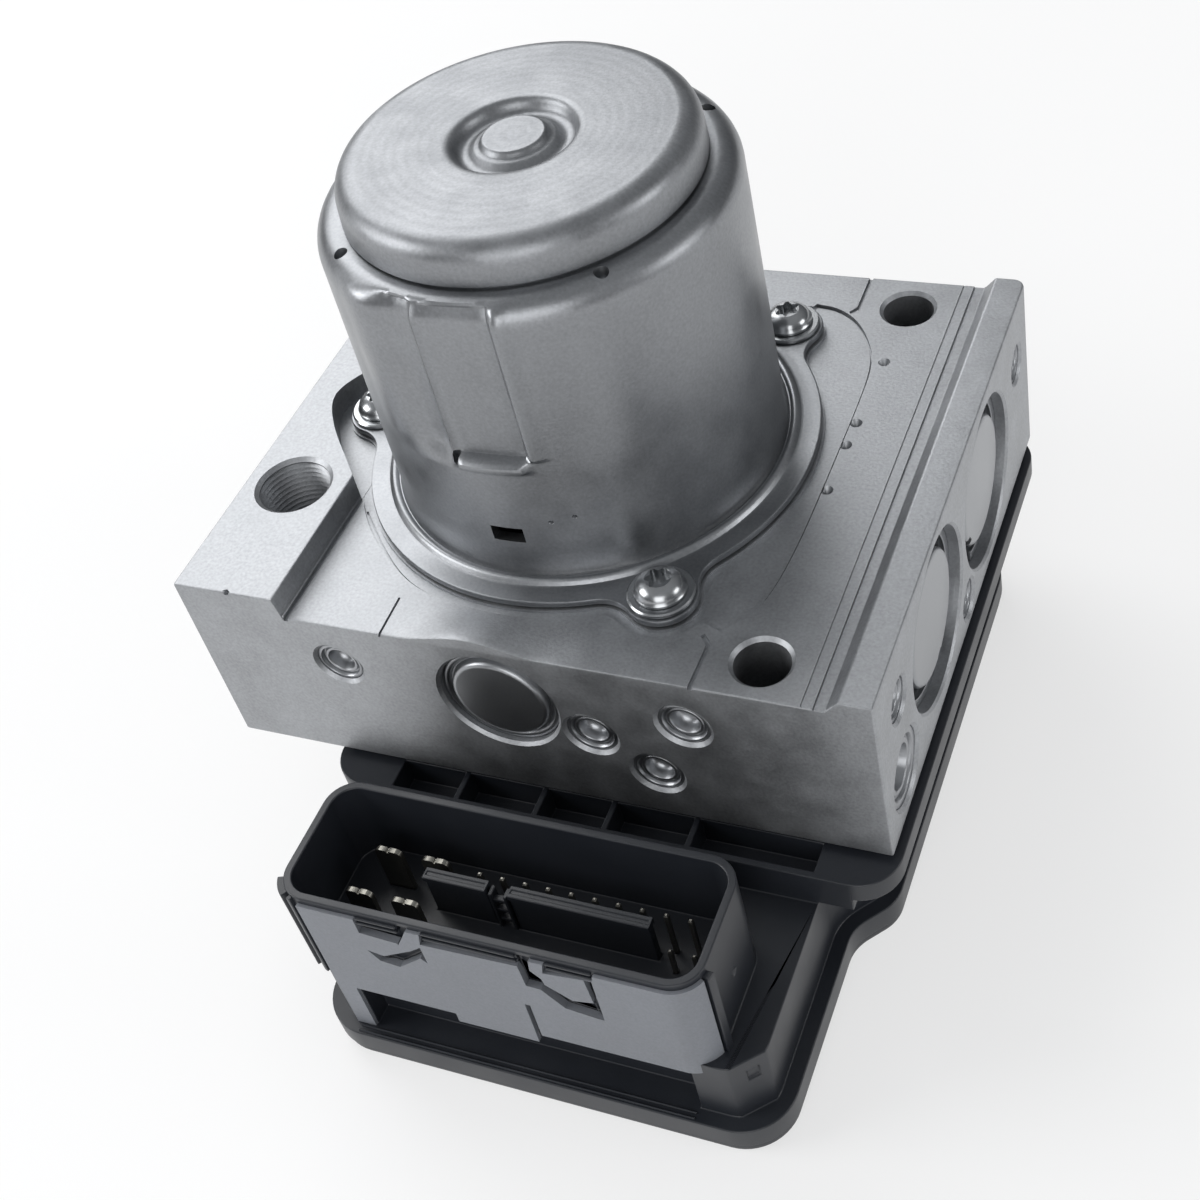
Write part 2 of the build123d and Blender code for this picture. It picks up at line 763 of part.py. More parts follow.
leaf_first = brush_end + brush_spring_strip
leaf_last = box_end - brush_spring_strip
leaf_step = (leaf_last - leaf_first) / 3
leaf_reach = brush_size / 2 - 3 * brush_spring_strip
with BuildPart() as brush_springs:
    with BuildSketch(Plane.XZ):
        with BuildLine():
            Polyline(*[(leaf_first + n * leaf_step, brush_centre + leaf_reach * (-1) ** n) for n in range(4)])
        trace(line_width=brush_spring_strip)
    extrude(amount=brush_size / 2 - brush_spring_strip, both=True)
    mirror(about=Plane.YZ)
brush_springs.part.label = "brush_springs"
export_step(brush_springs.part, "parts/brush_springs.step")

with BuildPart() as motor_terminals:
    with BuildSketch(Plane.XY.offset(board_top)):
        with Locations(terminal_pins):
            Rectangle(terminal_size, terminal_size)
    extrude(amount=plate_top - board_top)
motor_terminals.part.label = "motor_terminals"
export_step(motor_terminals.part, "parts/motor_terminals.step")


def away(points):
    """Turn distances from the motor's axis into depths under a plane that faces outwards."""
    return [(radius, -distance) for radius, distance in points]


def coil_spring(centre, direction, radial, radius, wire, length, turns):
    """A coil spring of square wire between two seats, in straight flats around each turn."""
    across = direction.cross(radial)
    steps = turns * spring_flat_count
    rise = (length - 2 * wire) / steps
    corners = [
        centre + direction * (wire + rise * n)
        + (radial * cos(radians(360 * n / spring_flat_count)) + across * sin(radians(360 * n / spring_flat_count))) * radius
        for n in range(steps + 1)
    ]
    with BuildPart() as spring:
        with BuildLine() as path:
            Polyline(*corners)
        with BuildSketch(Plane(path.line @ 0, x_dir=radial, z_dir=path.line % 0)):
            Rectangle(wire, wire)
        sweep(path=path.line, transition=Transition.RIGHT)
    return spring.part


# Pump elements, one each side of the eccentric
pump_sides = {
    "front": (Plane.XZ, front_face),
    "rear": (Plane(origin=(0, 0, 0), x_dir=(-1, 0, 0), z_dir=(0, 1, 0)), back_face),
}
with BuildPart() as pump_sleeves:
    for through_axis, face in pump_sides.values():
        guide_end = pump_sleeve_start + guide_length
        turned(through_axis, (0, pump_axis), away([
            (piston_radius + piston_clearance, pump_sleeve_start), (pump_sleeve_radius, pump_sleeve_start),
            (pump_sleeve_radius, spring_seat), (piston_head_radius + 0.15, spring_seat),
            (piston_head_radius + 0.15, guide_end), (piston_radius + piston_clearance, guide_end),
        ]))
pump_sleeves.part.label = "pump_sleeves"
export_step(pump_sleeves.part, "parts/pump_sleeves.step")

with BuildPart() as pump_caps:
    for through_axis, face in pump_sides.values():
        surface = abs(face.origin.Y)
        turned(through_axis, (0, pump_axis), away([
            (0, spring_seat), (pump_cap_radius, spring_seat), (pump_cap_radius, surface - pump_cap_recess),
            (pump_cap_disc + 0.8, surface - pump_cap_recess), (pump_cap_disc, surface - pump_cap_recess / 3),
            (0, surface - pump_cap_recess / 3),
        ]))
pump_caps.part.label = "pump_caps"
export_step(pump_caps.part, "parts/pump_caps.step")

for side, (through_axis, face) in pump_sides.items():
    with BuildPart() as pump_piston:
        turned(through_axis, (0, pump_axis), away([
            (0, piston_start), (piston_radius, piston_start), (piston_radius, piston_end - piston_head_length),
            (piston_head_radius, piston_end - piston_head_length), (piston_head_radius, piston_end),
            (0, piston_end),
        ]))
    pump_piston.part.label = f"pump_piston_{side}"
    export_step(pump_piston.part, f"parts/pump_piston_{side}.step")
    outwards = through_axis.z_dir
    pump_spring = coil_spring(
        Vector(0, 0, pump_axis) + outwards * (piston_end + spring_gap), outwards, through_axis.x_dir,
        pump_spring_radius - pump_spring_wire / 2, pump_spring_wire, pump_spring_room - 2 * spring_gap,
        pump_spring_turns,
    )
    pump_spring.label = f"pump_spring_{side}"
    export_step(pump_spring, f"parts/pump_spring_{side}.step")

# Accumulators, with depths under the block's right face
cap_outer = accumulator_cap_recess
cap_inner = cap_outer + accumulator_cap_height
piston_foot = accumulator_depth - accumulator_clearance
piston_lip = piston_foot - accumulator_piston_height
spring_foot = piston_foot - accumulator_piston_wall
cup_radius = accumulator_radius - accumulator_clearance
accumulator_sides = dict(zip(("rear", "front"), accumulator_places))
for side, place in accumulator_sides.items():
    with BuildPart() as accumulator_piston:
        turned(right_face, place, [
            (0, spring_foot), (cup_radius - accumulator_piston_wall, spring_foot),
            (cup_radius - accumulator_piston_wall, piston_lip), (cup_radius, piston_lip),
            (cup_radius, piston_foot), (0, piston_foot),
        ])
    accumulator_piston.part.label = f"accumulator_piston_{side}"
    export_step(accumulator_piston.part, f"parts/accumulator_piston_{side}.step")
    accumulator_spring = coil_spring(
        right_face.from_local_coords((place[0], place[1], spring_gap - spring_foot)), Vector(1, 0, 0),
        Vector(0, 1, 0), accumulator_spring_radius, accumulator_spring_wire,
        spring_foot - cap_inner - 2 * spring_gap, accumulator_spring_turns,
    )
    accumulator_spring.label = f"accumulator_spring_{side}"
    export_step(accumulator_spring, f"parts/accumulator_spring_{side}.step")

cap_dish_radius = accumulator_mouth - accumulator_cap_rim
with BuildPart() as accumulator_caps:
    for place in accumulator_places:
        turned(right_face, place, [
            (0, cap_outer + accumulator_cap_dish), (cap_dish_radius, cap_outer + accumulator_cap_dish),
            (cap_dish_radius, cap_outer), (accumulator_mouth, cap_outer), (accumulator_mouth, cap_inner),
            (0, cap_inner),
        ])
accumulator_caps.part.label = "accumulator_caps"
export_step(accumulator_caps.part, "parts/accumulator_caps.step")

with BuildPart() as bore_plugs:
    for place, radius in front_plug_places:
        turned(front_face, place, disc(radius, plug_recess, plug_depth))
    for place, radius in side_plug_places:
        turned(right_face, place, disc(radius, plug_recess, plug_depth))
    turned(right_face, large_plug_place, disc(large_plug[2], plug_recess, large_plug_depth))
bore_plugs.part.label = "bore_plugs"
export_step(bore_plugs.part, "parts/bore_plugs.step")

# Solenoid valves, with depths below the block's underside
dome_inside = dome_length - dome_wall
armature_low = dome_inside - armature_end_gap
cavity_top = dome_inside - 2 * armature_end_gap - armature_length - armature_stroke - valve_spring_room
cavity_radius = dome_radius - dome_wall
with BuildPart() as valve_bodies:
    for place in valve_places:
        turned(Plane.XY.offset(block_base), place, [
            (0, -valve_depth), (valve_radius, -valve_depth), (valve_radius, 0), (dome_radius, 0),
            (dome_radius, dome_length), (0, dome_length), (0, dome_inside), (cavity_radius, dome_inside),
            (cavity_radius, cavity_top), (0, cavity_top),
        ])
valve_bodies.part.label = "valve_bodies"
export_step(valve_bodies.part, "parts/valve_bodies.step")

# The left column's valves rest open with the armature down, the right column's rest shut with it up
armature_high = cavity_top + armature_end_gap + armature_length
for number, place in enumerate(valve_places, 1):
    rests_open = number <= valve_row_count
    foot = armature_low if rests_open else armature_high
    with BuildPart() as valve_armature:
        with BuildSketch(Plane.XY.offset(block_base - foot)):
            with Locations(place):
                RegularPolygon(cavity_radius - armature_clearance, 6)
        extrude(amount=armature_length)
    valve_armature.part.label = f"valve_armature_{number}"
    export_step(valve_armature.part, f"parts/valve_armature_{number}.step")

with BuildPart() as valve_springs:
    for number, place in enumerate(valve_places, 1):
        if number <= valve_row_count:
            span = (cavity_top, armature_low - armature_length - armature_stroke)
        else:
            span = (armature_high + armature_stroke, dome_inside)
        add(coil_spring(Vector(place[0], place[1], block_base - span[1] + valve_spring_gap), Vector(0, 0, 1),
                        Vector(1, 0, 0), valve_spring_radius, valve_spring_wire,
                        span[1] - span[0] - 2 * valve_spring_gap, valve_spring_turns))
valve_springs.part.label = "valve_springs"
export_step(valve_springs.part, "parts/valve_springs.step")

coil_top = collar_top - wall
with BuildPart() as valve_coils:
    with BuildSketch(Plane.XY.offset(coil_top)):
        with Locations(valve_places):
            RegularPolygon(coil_radius, 8, major_radius=False)
            Circle(dome_radius + coil_clearance, mode=Mode.SUBTRACT)
    extrude(amount=-coil_length)
    with BuildSketch(Plane.XY.offset(board_top)):
        for place in valve_places:
            for side in (-1, 1):
                with Locations((place[0], place[1] + side * coil_leg_distance)):
                    Rectangle(coil_leg, coil_leg)
    extrude(amount=coil_top - coil_length - board_top)
valve_coils.part.label = "valve_coils"
export_step(valve_coils.part, "parts/valve_coils.step")


def span_box(x_range, y_range):
    """A rectangle between two distances from the left face and two from the front face."""
    with Locations(((left(x_range[0]) + left(x_range[1])) / 2, (front(y_range[0]) + front(y_range[1])) / 2)):
        return Rectangle(x_range[1] - x_range[0], y_range[1] - y_range[0])


def unit_outline(inset):
    """Outline of the control unit: a rear body that sweeps in to a narrower front part."""
    middle = (sweep_start + sweep_end) / 2
    lead = (tongue_left - body_left) / 2
    edge = [
        (tongue_left, tongue_front), (tongue_right, tongue_front), (tongue_right, middle - lead),
        (body_right, middle + lead), (body_right, body_back), (body_left, body_back),
        (body_left, middle + lead), (tongue_left, middle - lead),
    ]
    with BuildSketch() as outline:
        with BuildLine():
            Polyline(*[(left(x), front(y)) for x, y in edge], close=True)
        make_face()
        fillet(outline.vertices().group_by(Axis.Y)[0], tongue_corner)
        fillet(outline.vertices().group_by(Axis.Y)[-1], body_corner)
        fillet([v for v in outline.vertices() if abs(v.Y - front(middle)) < 2 * lead], sweep_corner)
        if inset:
            offset(amount=-inset, mode=Mode.REPLACE)
    return outline.sketch


# Control unit
plateau_under = pedestal_height - wall
cavity_front_room = 20.0
unit_screw_reach = unit_screw_length - unit_screw_seat + 0.5
blade_places = [(left(x), front(y)) for x, y in blades]
pin_pitch = (pin_last - pin_first) / (pin_count - 1)
pin_places = [(left(pin_first + number * pin_pitch), front(pin_row_y)) for number in range(pin_count)]
low_pin_places = [(left(pin_last + step), front(second_row_y)) for step in low_pin_steps]
with BuildPart() as ecu_housing:
    with BuildSketch(Plane.XY.offset(cover_thickness)):
        add(unit_outline(0))
    extrude(amount=skirt_height)
    with BuildSketch(Plane.XY.offset(ledge_top)):
        add(unit_outline(ledge_width))
    extrude(amount=pedestal_height - ledge_top)
    with BuildSketch(Plane.XY.offset(pedestal_height)):
        span_box((body_left + ledge_width, body_right - ledge_width), (collar_front, body_back - ledge_width))
    extrude(amount=collar_base - pedestal_height)
    with BuildSketch(Plane.XY.offset(collar_base)) as collar:
        span_box((collar_left, collar_right), (collar_front, collar_back))
        fillet(collar.vertices(), collar_corner)
    extrude(amount=collar_height)
    with BuildSketch(Plane.XY.offset(collar_base)):
        with Locations(unit_screw_places):
            Circle(unit_screw_boss)
    extrude(amount=-unit_screw_boss_height + collar_height)
    with BuildSketch(Plane.XY.offset(pedestal_height)) as shroud:
        span_box((socket_left, socket_right), (socket_front, socket_back))
        fillet(shroud.vertices(), socket_corner)
    extrude(amount=socket_rim - pedestal_height)
    with BuildSketch(Plane.XY.offset(socket_floor)) as mouth:
        span_box((socket_left + socket_wall, socket_right - socket_wall),
                 (socket_front + socket_wall, socket_back - socket_wall))
        fillet(mouth.vertices(), socket_corner - socket_wall)
    extrude(amount=socket_rim - socket_floor, mode=Mode.SUBTRACT)
    with BuildSketch(Plane.XY.offset(cover_thickness)):
        add(unit_outline(shell))
        with Locations((0, front(cavity_front) - cavity_front_room / 2)):
            Rectangle(block_width, cavity_front_room, mode=Mode.SUBTRACT)
    extrude(amount=plateau_under - cover_thickness, mode=Mode.SUBTRACT)
    with BuildSketch(Plane.XY.offset(plateau_under)):
        span_box((body_left + shell, body_right - shell), (trough_back + wall, body_back - shell))
    extrude(amount=coil_top - plateau_under, mode=Mode.SUBTRACT)
    with BuildSketch(Plane.XY.offset(collar_top)):
        span_box((trough_left, trough_right), (collar_front + trough_wall, trough_back))
        for x in trough_ribs:
            with Locations((left(x), front(collar_front + trough_back) / 2 + front(0) / 2)):
                Rectangle(trough_rib, block_width, mode=Mode.SUBTRACT)
    extrude(amount=-trough_depth, mode=Mode.SUBTRACT)
    with BuildSketch(Plane.XY.offset(collar_top)):
        with Locations(valve_places):
            Circle(dome_radius + 2 * coil_clearance)
        with Locations(terminal_place):
            Circle(terminal_sleeve + 2 * coil_clearance)
    extrude(amount=-wall, mode=Mode.SUBTRACT)
    with BuildSketch(Plane.XY.offset(board_top)):
        for x, y in front_posts + rear_posts:
            with Locations((left(x), front(y))):
                Circle(post_radius)
    extrude(amount=plateau_under + wall / 2 - board_top)
    with BuildSketch(Plane.XY.offset(plateau_under)):
        for x, y in rear_posts:
            with Locations((left(x), front(y))):
                Circle(post_radius)
        with Locations(unit_screw_places):
            Circle(unit_screw_boss)
    extrude(amount=coil_top - plateau_under)
    with BuildSketch(Plane.XY.offset(collar_top)):
        with Locations(unit_screw_places):
            Circle(unit_screw_radius)
    extrude(amount=-(unit_screw_reach - (block_base - collar_top)), mode=Mode.SUBTRACT)
    with BuildSketch(Plane.XY.offset(socket_floor)):
        for x_range in partitions:
            span_box(x_range, (partition_y - partition_thickness / 2, partition_y + partition_thickness / 2))
    extrude(amount=partition_top - socket_floor)
    with BuildSketch(Plane.XY.offset(socket_floor)):
        with Locations(blade_places):
            Rectangle(blade_width, blade_thickness)
        with Locations(pin_places + low_pin_places):
            Rectangle(pin_size, pin_size)
    extrude(amount=plateau_under - socket_floor, mode=Mode.SUBTRACT)
    panel = Plane.XZ.offset(-front(socket_front))
    with BuildSketch(panel) as window:
        with BuildLine():
            Polyline(
                (left(panel_window_left), ledge_top), (left(panel_window_right), ledge_top),
                (left(panel_window_right), panel_window_top), (left(panel_tongue[1]), panel_window_top),
                (left(panel_tongue[1]), panel_window_top - panel_tongue[2]),
                (left(panel_tongue[0]), panel_window_top - panel_tongue[2]),
                (left(panel_tongue[0]), panel_window_top), (left(panel_window_left), panel_window_top),
                close=True,
            )
        make_face()
    extrude(amount=-panel_window_depth, mode=Mode.SUBTRACT)
    with BuildSketch(panel):
        for corners in latch_windows:
            with BuildLine():
                Polyline(*[(left(x), z) for x, z in corners], close=True)
            make_face()
        for x_range, base, top in (
            (panel_slit, panel_window_top, panel_window_top + panel_slit_height),
            (panel_strip, panel_strip_base, panel_strip_top),
        ):
            with Locations((left(sum(x_range) / 2), (base + top) / 2)):
                Rectangle(x_range[1] - x_range[0], top - base)
    extrude(amount=-latch_depth, mode=Mode.SUBTRACT)
    pedestal_right = left(tongue_right - ledge_width)
    with BuildSketch(Plane.XY.offset(ledge_top)):
        with BuildLine():
            Polyline(
                (pedestal_right, front(socket_front)), (pedestal_right, front(socket_front) + pedestal_flat),
                (pedestal_right - pedestal_flat, front(socket_front)), close=True,
            )
        make_face()
    extrude(amount=pedestal_height - ledge_top, mode=Mode.SUBTRACT)
ecu_housing.part.label = "ecu_housing"
export_step(ecu_housing.part, "parts/ecu_housing.step")

with BuildPart() as ecu_cover:
    with BuildSketch():
        add(unit_outline(cover_inset))
    extrude(amount=cover_thickness)
ecu_cover.part.label = "ecu_cover"
export_step(ecu_cover.part, "parts/ecu_cover.step")

with BuildPart() as ecu_seal:
    with BuildSketch(Plane.XY.offset(collar_top)):
        for inset, mode in ((unit_seal_inset, Mode.ADD), (unit_seal_inset + unit_seal_width, Mode.SUBTRACT)):
            with Locations((left(collar_left + block_width) / 2 + left(0) / 2, front(block_depth) / 2 + front(0) / 2)):
                Rectangle(block_width - collar_left - 2 * inset, block_depth - 2 * inset, mode=mode)
    extrude(amount=unit_seal_thickness)
ecu_seal.part.label = "ecu_seal"
export_step(ecu_seal.part, "parts/ecu_seal.step")

with BuildPart() as circuit_board:
    with BuildSketch(Plane.XY.offset(board_bottom)):
        span_box((board_left, board_right), (board_front, board_back))
    extrude(amount=board_thickness)
circuit_board.part.label = "circuit_board"
export_step(circuit_board.part, "parts/circuit_board.step")

with BuildPart() as connector_blades:
    with BuildSketch(Plane.XY.offset(board_top)):
        with Locations(blade_places):
            Rectangle(blade_width, blade_thickness)
    extrude(amount=contact_top - board_top)
connector_blades.part.label = "connector_blades"
export_step(connector_blades.part, "parts/connector_blades.step")

with BuildPart() as signal_pins:
    for places, top in ((pin_places, contact_top), (low_pin_places, contact_top - second_row_drop)):
        with BuildSketch(Plane.XY.offset(board_top)):
            with Locations(places):
                Rectangle(pin_size, pin_size)
        extrude(amount=top - board_top)
signal_pins.part.label = "signal_pins"
export_step(signal_pins.part, "parts/signal_pins.step")

with BuildPart() as ecu_screws:
    for place in unit_screw_places:
        turned(Plane.XY.offset(block_base + unit_screw_seat), place, [
            (0, -unit_screw_head_height), (unit_screw_head, -unit_screw_head_height), (unit_screw_head, 0),
            (unit_screw_radius, 0), (unit_screw_radius, unit_screw_length), (0, unit_screw_length),
        ])
    with BuildSketch(Plane.XY.offset(block_base + unit_screw_seat + unit_screw_head_height)) as keyways:
        with Locations(unit_screw_places):
            RegularPolygon(hex_across_flats / 2, 6, major_radius=False)
    extrude(keyways.sketch, amount=-unit_screw_head_height / 2, mode=Mode.SUBTRACT)
ecu_screws.part.label = "ecu_screws"
export_step(ecu_screws.part, "parts/ecu_screws.step")
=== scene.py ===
from math import atan2, cos, degrees, hypot, pi, radians, sin, sqrt

import bmesh
import bpy
from mathutils import Euler, Matrix, Vector
from mathutils.bvhtree import BVHTree


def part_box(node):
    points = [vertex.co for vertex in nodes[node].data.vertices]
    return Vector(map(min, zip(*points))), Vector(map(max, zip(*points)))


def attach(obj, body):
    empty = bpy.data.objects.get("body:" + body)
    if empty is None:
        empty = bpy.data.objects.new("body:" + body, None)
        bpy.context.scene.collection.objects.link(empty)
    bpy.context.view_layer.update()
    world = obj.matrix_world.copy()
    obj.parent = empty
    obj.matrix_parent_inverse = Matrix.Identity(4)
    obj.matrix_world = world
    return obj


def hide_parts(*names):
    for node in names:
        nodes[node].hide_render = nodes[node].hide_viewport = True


bl_info = {
    "name": "Brake Control Module",
    "version": (1, 0, 0),
    "blender": (4, 5, 0),
    "location": "3D View > Sidebar > Brake Module",
    "description": "Builds the looks of a brake control module around its packed frame",
    "category": "Add Mesh",
}

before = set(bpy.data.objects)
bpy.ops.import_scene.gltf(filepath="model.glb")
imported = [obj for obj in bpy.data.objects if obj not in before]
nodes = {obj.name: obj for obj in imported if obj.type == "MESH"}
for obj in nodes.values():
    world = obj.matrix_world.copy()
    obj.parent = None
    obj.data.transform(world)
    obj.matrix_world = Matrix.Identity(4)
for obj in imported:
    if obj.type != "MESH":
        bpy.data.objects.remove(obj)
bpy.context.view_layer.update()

MM = 0.001
ROOT = "module"
UP, DOWN, FORWARD, REARWARD, RIGHTWARD, LEFTWARD = (
    (0, 0, 1), (0, 0, -1), (0, -1, 0), (0, 1, 0), (1, 0, 0), (-1, 0, 0))


def seat(node, corner, axis):
    """One coordinate of a CAD node's box, in millimetres: corner 0 is the lowest, 1 the highest."""
    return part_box(node)[corner][axis] / MM


# Places that come from the frame, in millimetres
LEFT, FRONT, BASE = (seat("valve_block", 0, axis) for axis in range(3))
RIGHT, BACK, STRIP_TOP = (seat("valve_block", 1, axis) for axis in range(3))
STRIP_RISE = 3.9
TOP = STRIP_TOP - STRIP_RISE
RIDGE_TOP = TOP + 2.1
FLANGE_BOTTOM = seat("motor_can", 0, 2)
FLANGE_TOP = seat("motor_washers", 0, 2)
HEAD_SEAT = seat("motor_washers", 1, 2)
SHELF = seat("motor_can", 1, 2)
CAP_TOP = seat("motor_end_cap", 1, 2)
CAP_RADIUS = seat("motor_end_cap", 1, 0)
PUMP_AXIS = (seat("pump_piston_front", 0, 2) + seat("pump_piston_front", 1, 2)) / 2
# the can's wall, and its flange with three ears
CAN_RADIUS = 31.2
FLANGE_RADIUS = 36.8
EAR_CIRCLE = 38.9
EAR_RADIUS = 5.6
EAR_BLEND = 6.0
EAR_ANGLES = (-53.0, 53.0, 180.0)


def polar(radius, angle, centre=(0, 0)):
    """The point at a radius and an angle (degrees) from a centre."""
    return (centre[0] + radius * cos(radians(angle)), centre[1] + radius * sin(radians(angle)))


EARS = [polar(EAR_CIRCLE, angle) for angle in EAR_ANGLES]


# ---------------------------------------------------------------- modelling

def deselect():
    """Select no object."""
    bpy.ops.object.select_all(action="DESELECT")


def take_all():
    """Select all of the open mesh."""
    bpy.ops.mesh.select_all(action="SELECT")


def settle():
    """Write the object's place, turn and size into its mesh."""
    bpy.ops.object.transform_apply(location=True, rotation=True, scale=True)


def only(obj):
    """Select one object alone and make it the active one."""
    deselect()
    obj.select_set(True)
    bpy.context.view_layer.objects.active = obj
    return obj


def named(name):
    """Name the object that was just added."""
    obj = bpy.context.active_object
    obj.name = obj.data.name = name
    return obj


def edit(obj):
    """Open one object in edit mode with nothing selected."""
    only(obj)
    bpy.ops.object.mode_set(mode="EDIT")
    bpy.ops.mesh.select_all(action="DESELECT")


def pick(obj, test, kind="faces"):
    """Select the faces, edges or verts of the open mesh that pass a test of place (mm) and normal."""
    mesh = bmesh.from_edit_mesh(obj.data)
    bpy.ops.mesh.select_mode(type={"faces": "FACE", "edges": "EDGE", "verts": "VERT"}[kind])
    for part in getattr(mesh, kind):
        if kind == "faces":
            chosen = test(part.calc_center_median() / MM, part.normal)
        elif kind == "edges":
            chosen = test(part.verts[0].co / MM, part.verts[1].co / MM)
        else:
            chosen = test(part.co / MM)
        part.select_set(bool(chosen))
    mesh.select_flush_mode()
    bmesh.update_edit_mesh(obj.data)


def close_edit():
    bpy.ops.object.mode_set(mode="OBJECT")


def apply(obj, kind, **values):
    """Add a modifier with these values and apply it."""
    only(obj)
    modifier = obj.modifiers.new("step", kind)
    for key, value in values.items():
        setattr(modifier, key, value)
    bpy.ops.object.modifier_apply(modifier=modifier.name)
    return obj


def box(name, low, high):
    """A box between two corners."""
    deselect()
    size = [(b - a) * MM for a, b in zip(low, high)]
    middle = [(a + b) / 2 * MM for a, b in zip(low, high)]
    bpy.ops.mesh.primitive_cube_add(size=1, location=middle, scale=size)
    settle()
    return named(name)


def turned(name, profile, segments=96):
    """A piece turned about the Z axis from (radius, height) points, from its lower end to its upper end.

    A profile that ends where it starts gives a ring; any other is closed with a face at each end."""
    ring = profile[0] == profile[-1]
    radius, height = profile[0]
    deselect()
    bpy.ops.mesh.primitive_circle_add(vertices=segments, radius=radius * MM, location=(0, 0, height * MM))
    settle()
    obj = named(name)
    edit(obj)
    take_all()
    if not ring:
        bpy.ops.mesh.edge_face_add()
        pick(obj, lambda a, b: True, "edges")
    for next_radius, next_height in profile[1:]:
        bpy.ops.mesh.extrude_edges_move(
            TRANSFORM_OT_translate={"value": (0, 0, (next_height - height) * MM)})
        if next_radius != radius:
            scale = next_radius / radius
            bpy.ops.transform.resize(value=(scale, scale, 1), center_override=(0, 0, 0))
        radius, height = next_radius, next_height
    if not ring:
        bpy.ops.mesh.edge_face_add()
    take_all()
    bpy.ops.mesh.remove_doubles(threshold=1e-7)
    bpy.ops.mesh.normals_make_consistent(inside=False)
    close_edit()
    return obj


def prism(name, outline, low, high):
    """A straight prism over an outline of (x, y) points."""
    deselect()
    bpy.ops.mesh.primitive_circle_add(vertices=len(outline), radius=1, fill_type="NGON")
    obj = named(name)
    for vertex, (x, y) in zip(obj.data.vertices, outline):
        vertex.co = (x * MM, y * MM, low * MM)
    edit(obj)
    take_all()
    bpy.ops.mesh.extrude_region_move(TRANSFORM_OT_translate={"value": (0, 0, (high - low) * MM)})
    take_all()
    bpy.ops.mesh.normals_make_consistent(inside=False)
    close_edit()
    return obj


def placed(obj, at, axis=UP, spin=0.0):
    """Move a piece made about the Z axis to its place along another axis, and fix it there."""
    only(obj)
    turn = Vector(axis).to_track_quat("Z", "Y").to_matrix().to_4x4()
    obj.matrix_world = Matrix.Translation(Vector(at) * MM) @ turn @ Matrix.Rotation(radians(spin), 4, "Z")
    settle()
    return obj


def round_tool(profile, at, axis=UP, segments=24):
    """A turned cutting tool, put in its place."""
    return placed(turned("round cutter", profile, segments), at, axis)


def joined(name, pieces):
    """Join pieces to one object."""
    deselect()
    for piece in pieces:
        piece.select_set(True)
    bpy.context.view_layer.objects.active = pieces[0]
    if len(pieces) > 1:
        bpy.ops.object.join()
    return named(name)


def cut(obj, cutters, operation="DIFFERENCE"):
    """Cut tools out of a piece, or weld them on with UNION."""
    for cutter in cutters:
        apply(obj, "BOOLEAN", operation=operation, solver="EXACT", object=cutter)
        bpy.data.objects.remove(cutter)
    return obj


def rounded(obj, width, angle=40.0, segments=2):
    """Break the sharp edges."""
    return apply(obj, "BEVEL", width=width * MM, segments=segments, limit_method="ANGLE",
                 angle_limit=radians(angle), use_clamp_overlap=False, miter_outer="MITER_SHARP")


def rounded_moulding(obj, width, angle):
    """Break the sharp edges of a moulding.

    Corners that the bevel threw off are laid back on the old surface."""
    surface = BVHTree.FromObject(obj, bpy.context.evaluated_depsgraph_get())
    rounded(obj, width, angle)
    for vertex in obj.data.vertices:
        near, normal, face, distance = surface.find_nearest(vertex.co)
        if distance > 0.5 * width * MM:
            vertex.co = near
    return obj


def smoothed(obj, angle=38.0):
    """Smooth the curved faces, keep the flat ones flat."""
    only(obj)
    bpy.ops.object.shade_smooth_by_angle(angle=radians(angle))
    return apply(obj, "WEIGHTED_NORMAL", keep_sharp=True, weight=50)


def copy_of(node, name):
    """A merged copy of a CAD node, to be dressed."""
    obj = nodes[node].copy()
    obj.data = nodes[node].data.copy()
    for key in [key for key in obj.keys() if key.startswith("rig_")]:
        del obj[key]
    obj.parent = None
    bpy.context.scene.collection.objects.link(obj)
    obj.name = obj.data.name = name
    obj.data.materials.clear()
    edit(obj)
    take_all()
    bpy.ops.mesh.remove_doubles(threshold=2e-6)
    bpy.ops.mesh.dissolve_limited(angle_limit=radians(0.6))
    close_edit()
    return obj


def show(obj, material, slot, *replaced):
    """Give a finished piece its material, its body and the CAD nodes that it stands for. The slot is not
    used.
    """
    obj.data.materials.clear()
    obj.data.materials.append(material)
    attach(obj, ROOT)
    if replaced:
        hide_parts(*replaced)


def arc(centre, radius, start, end, steps):
    """Points of an arc, both ends included."""
    return [polar(radius, start + (end - start) * n / steps, centre) for n in range(steps + 1)]


def softened(points, rounds=2):
    """An open line with its corners rounded off."""
    for _ in range(rounds):
        soft = [points[0]]
        for (ax, ay), (bx, by) in zip(points, points[1:]):
            soft += [(0.75 * ax + 0.25 * bx, 0.75 * ay + 0.25 * by),
                     (0.25 * ax + 0.75 * bx, 0.25 * ay + 0.75 * by)]
        points = soft + [points[-1]]
    return points


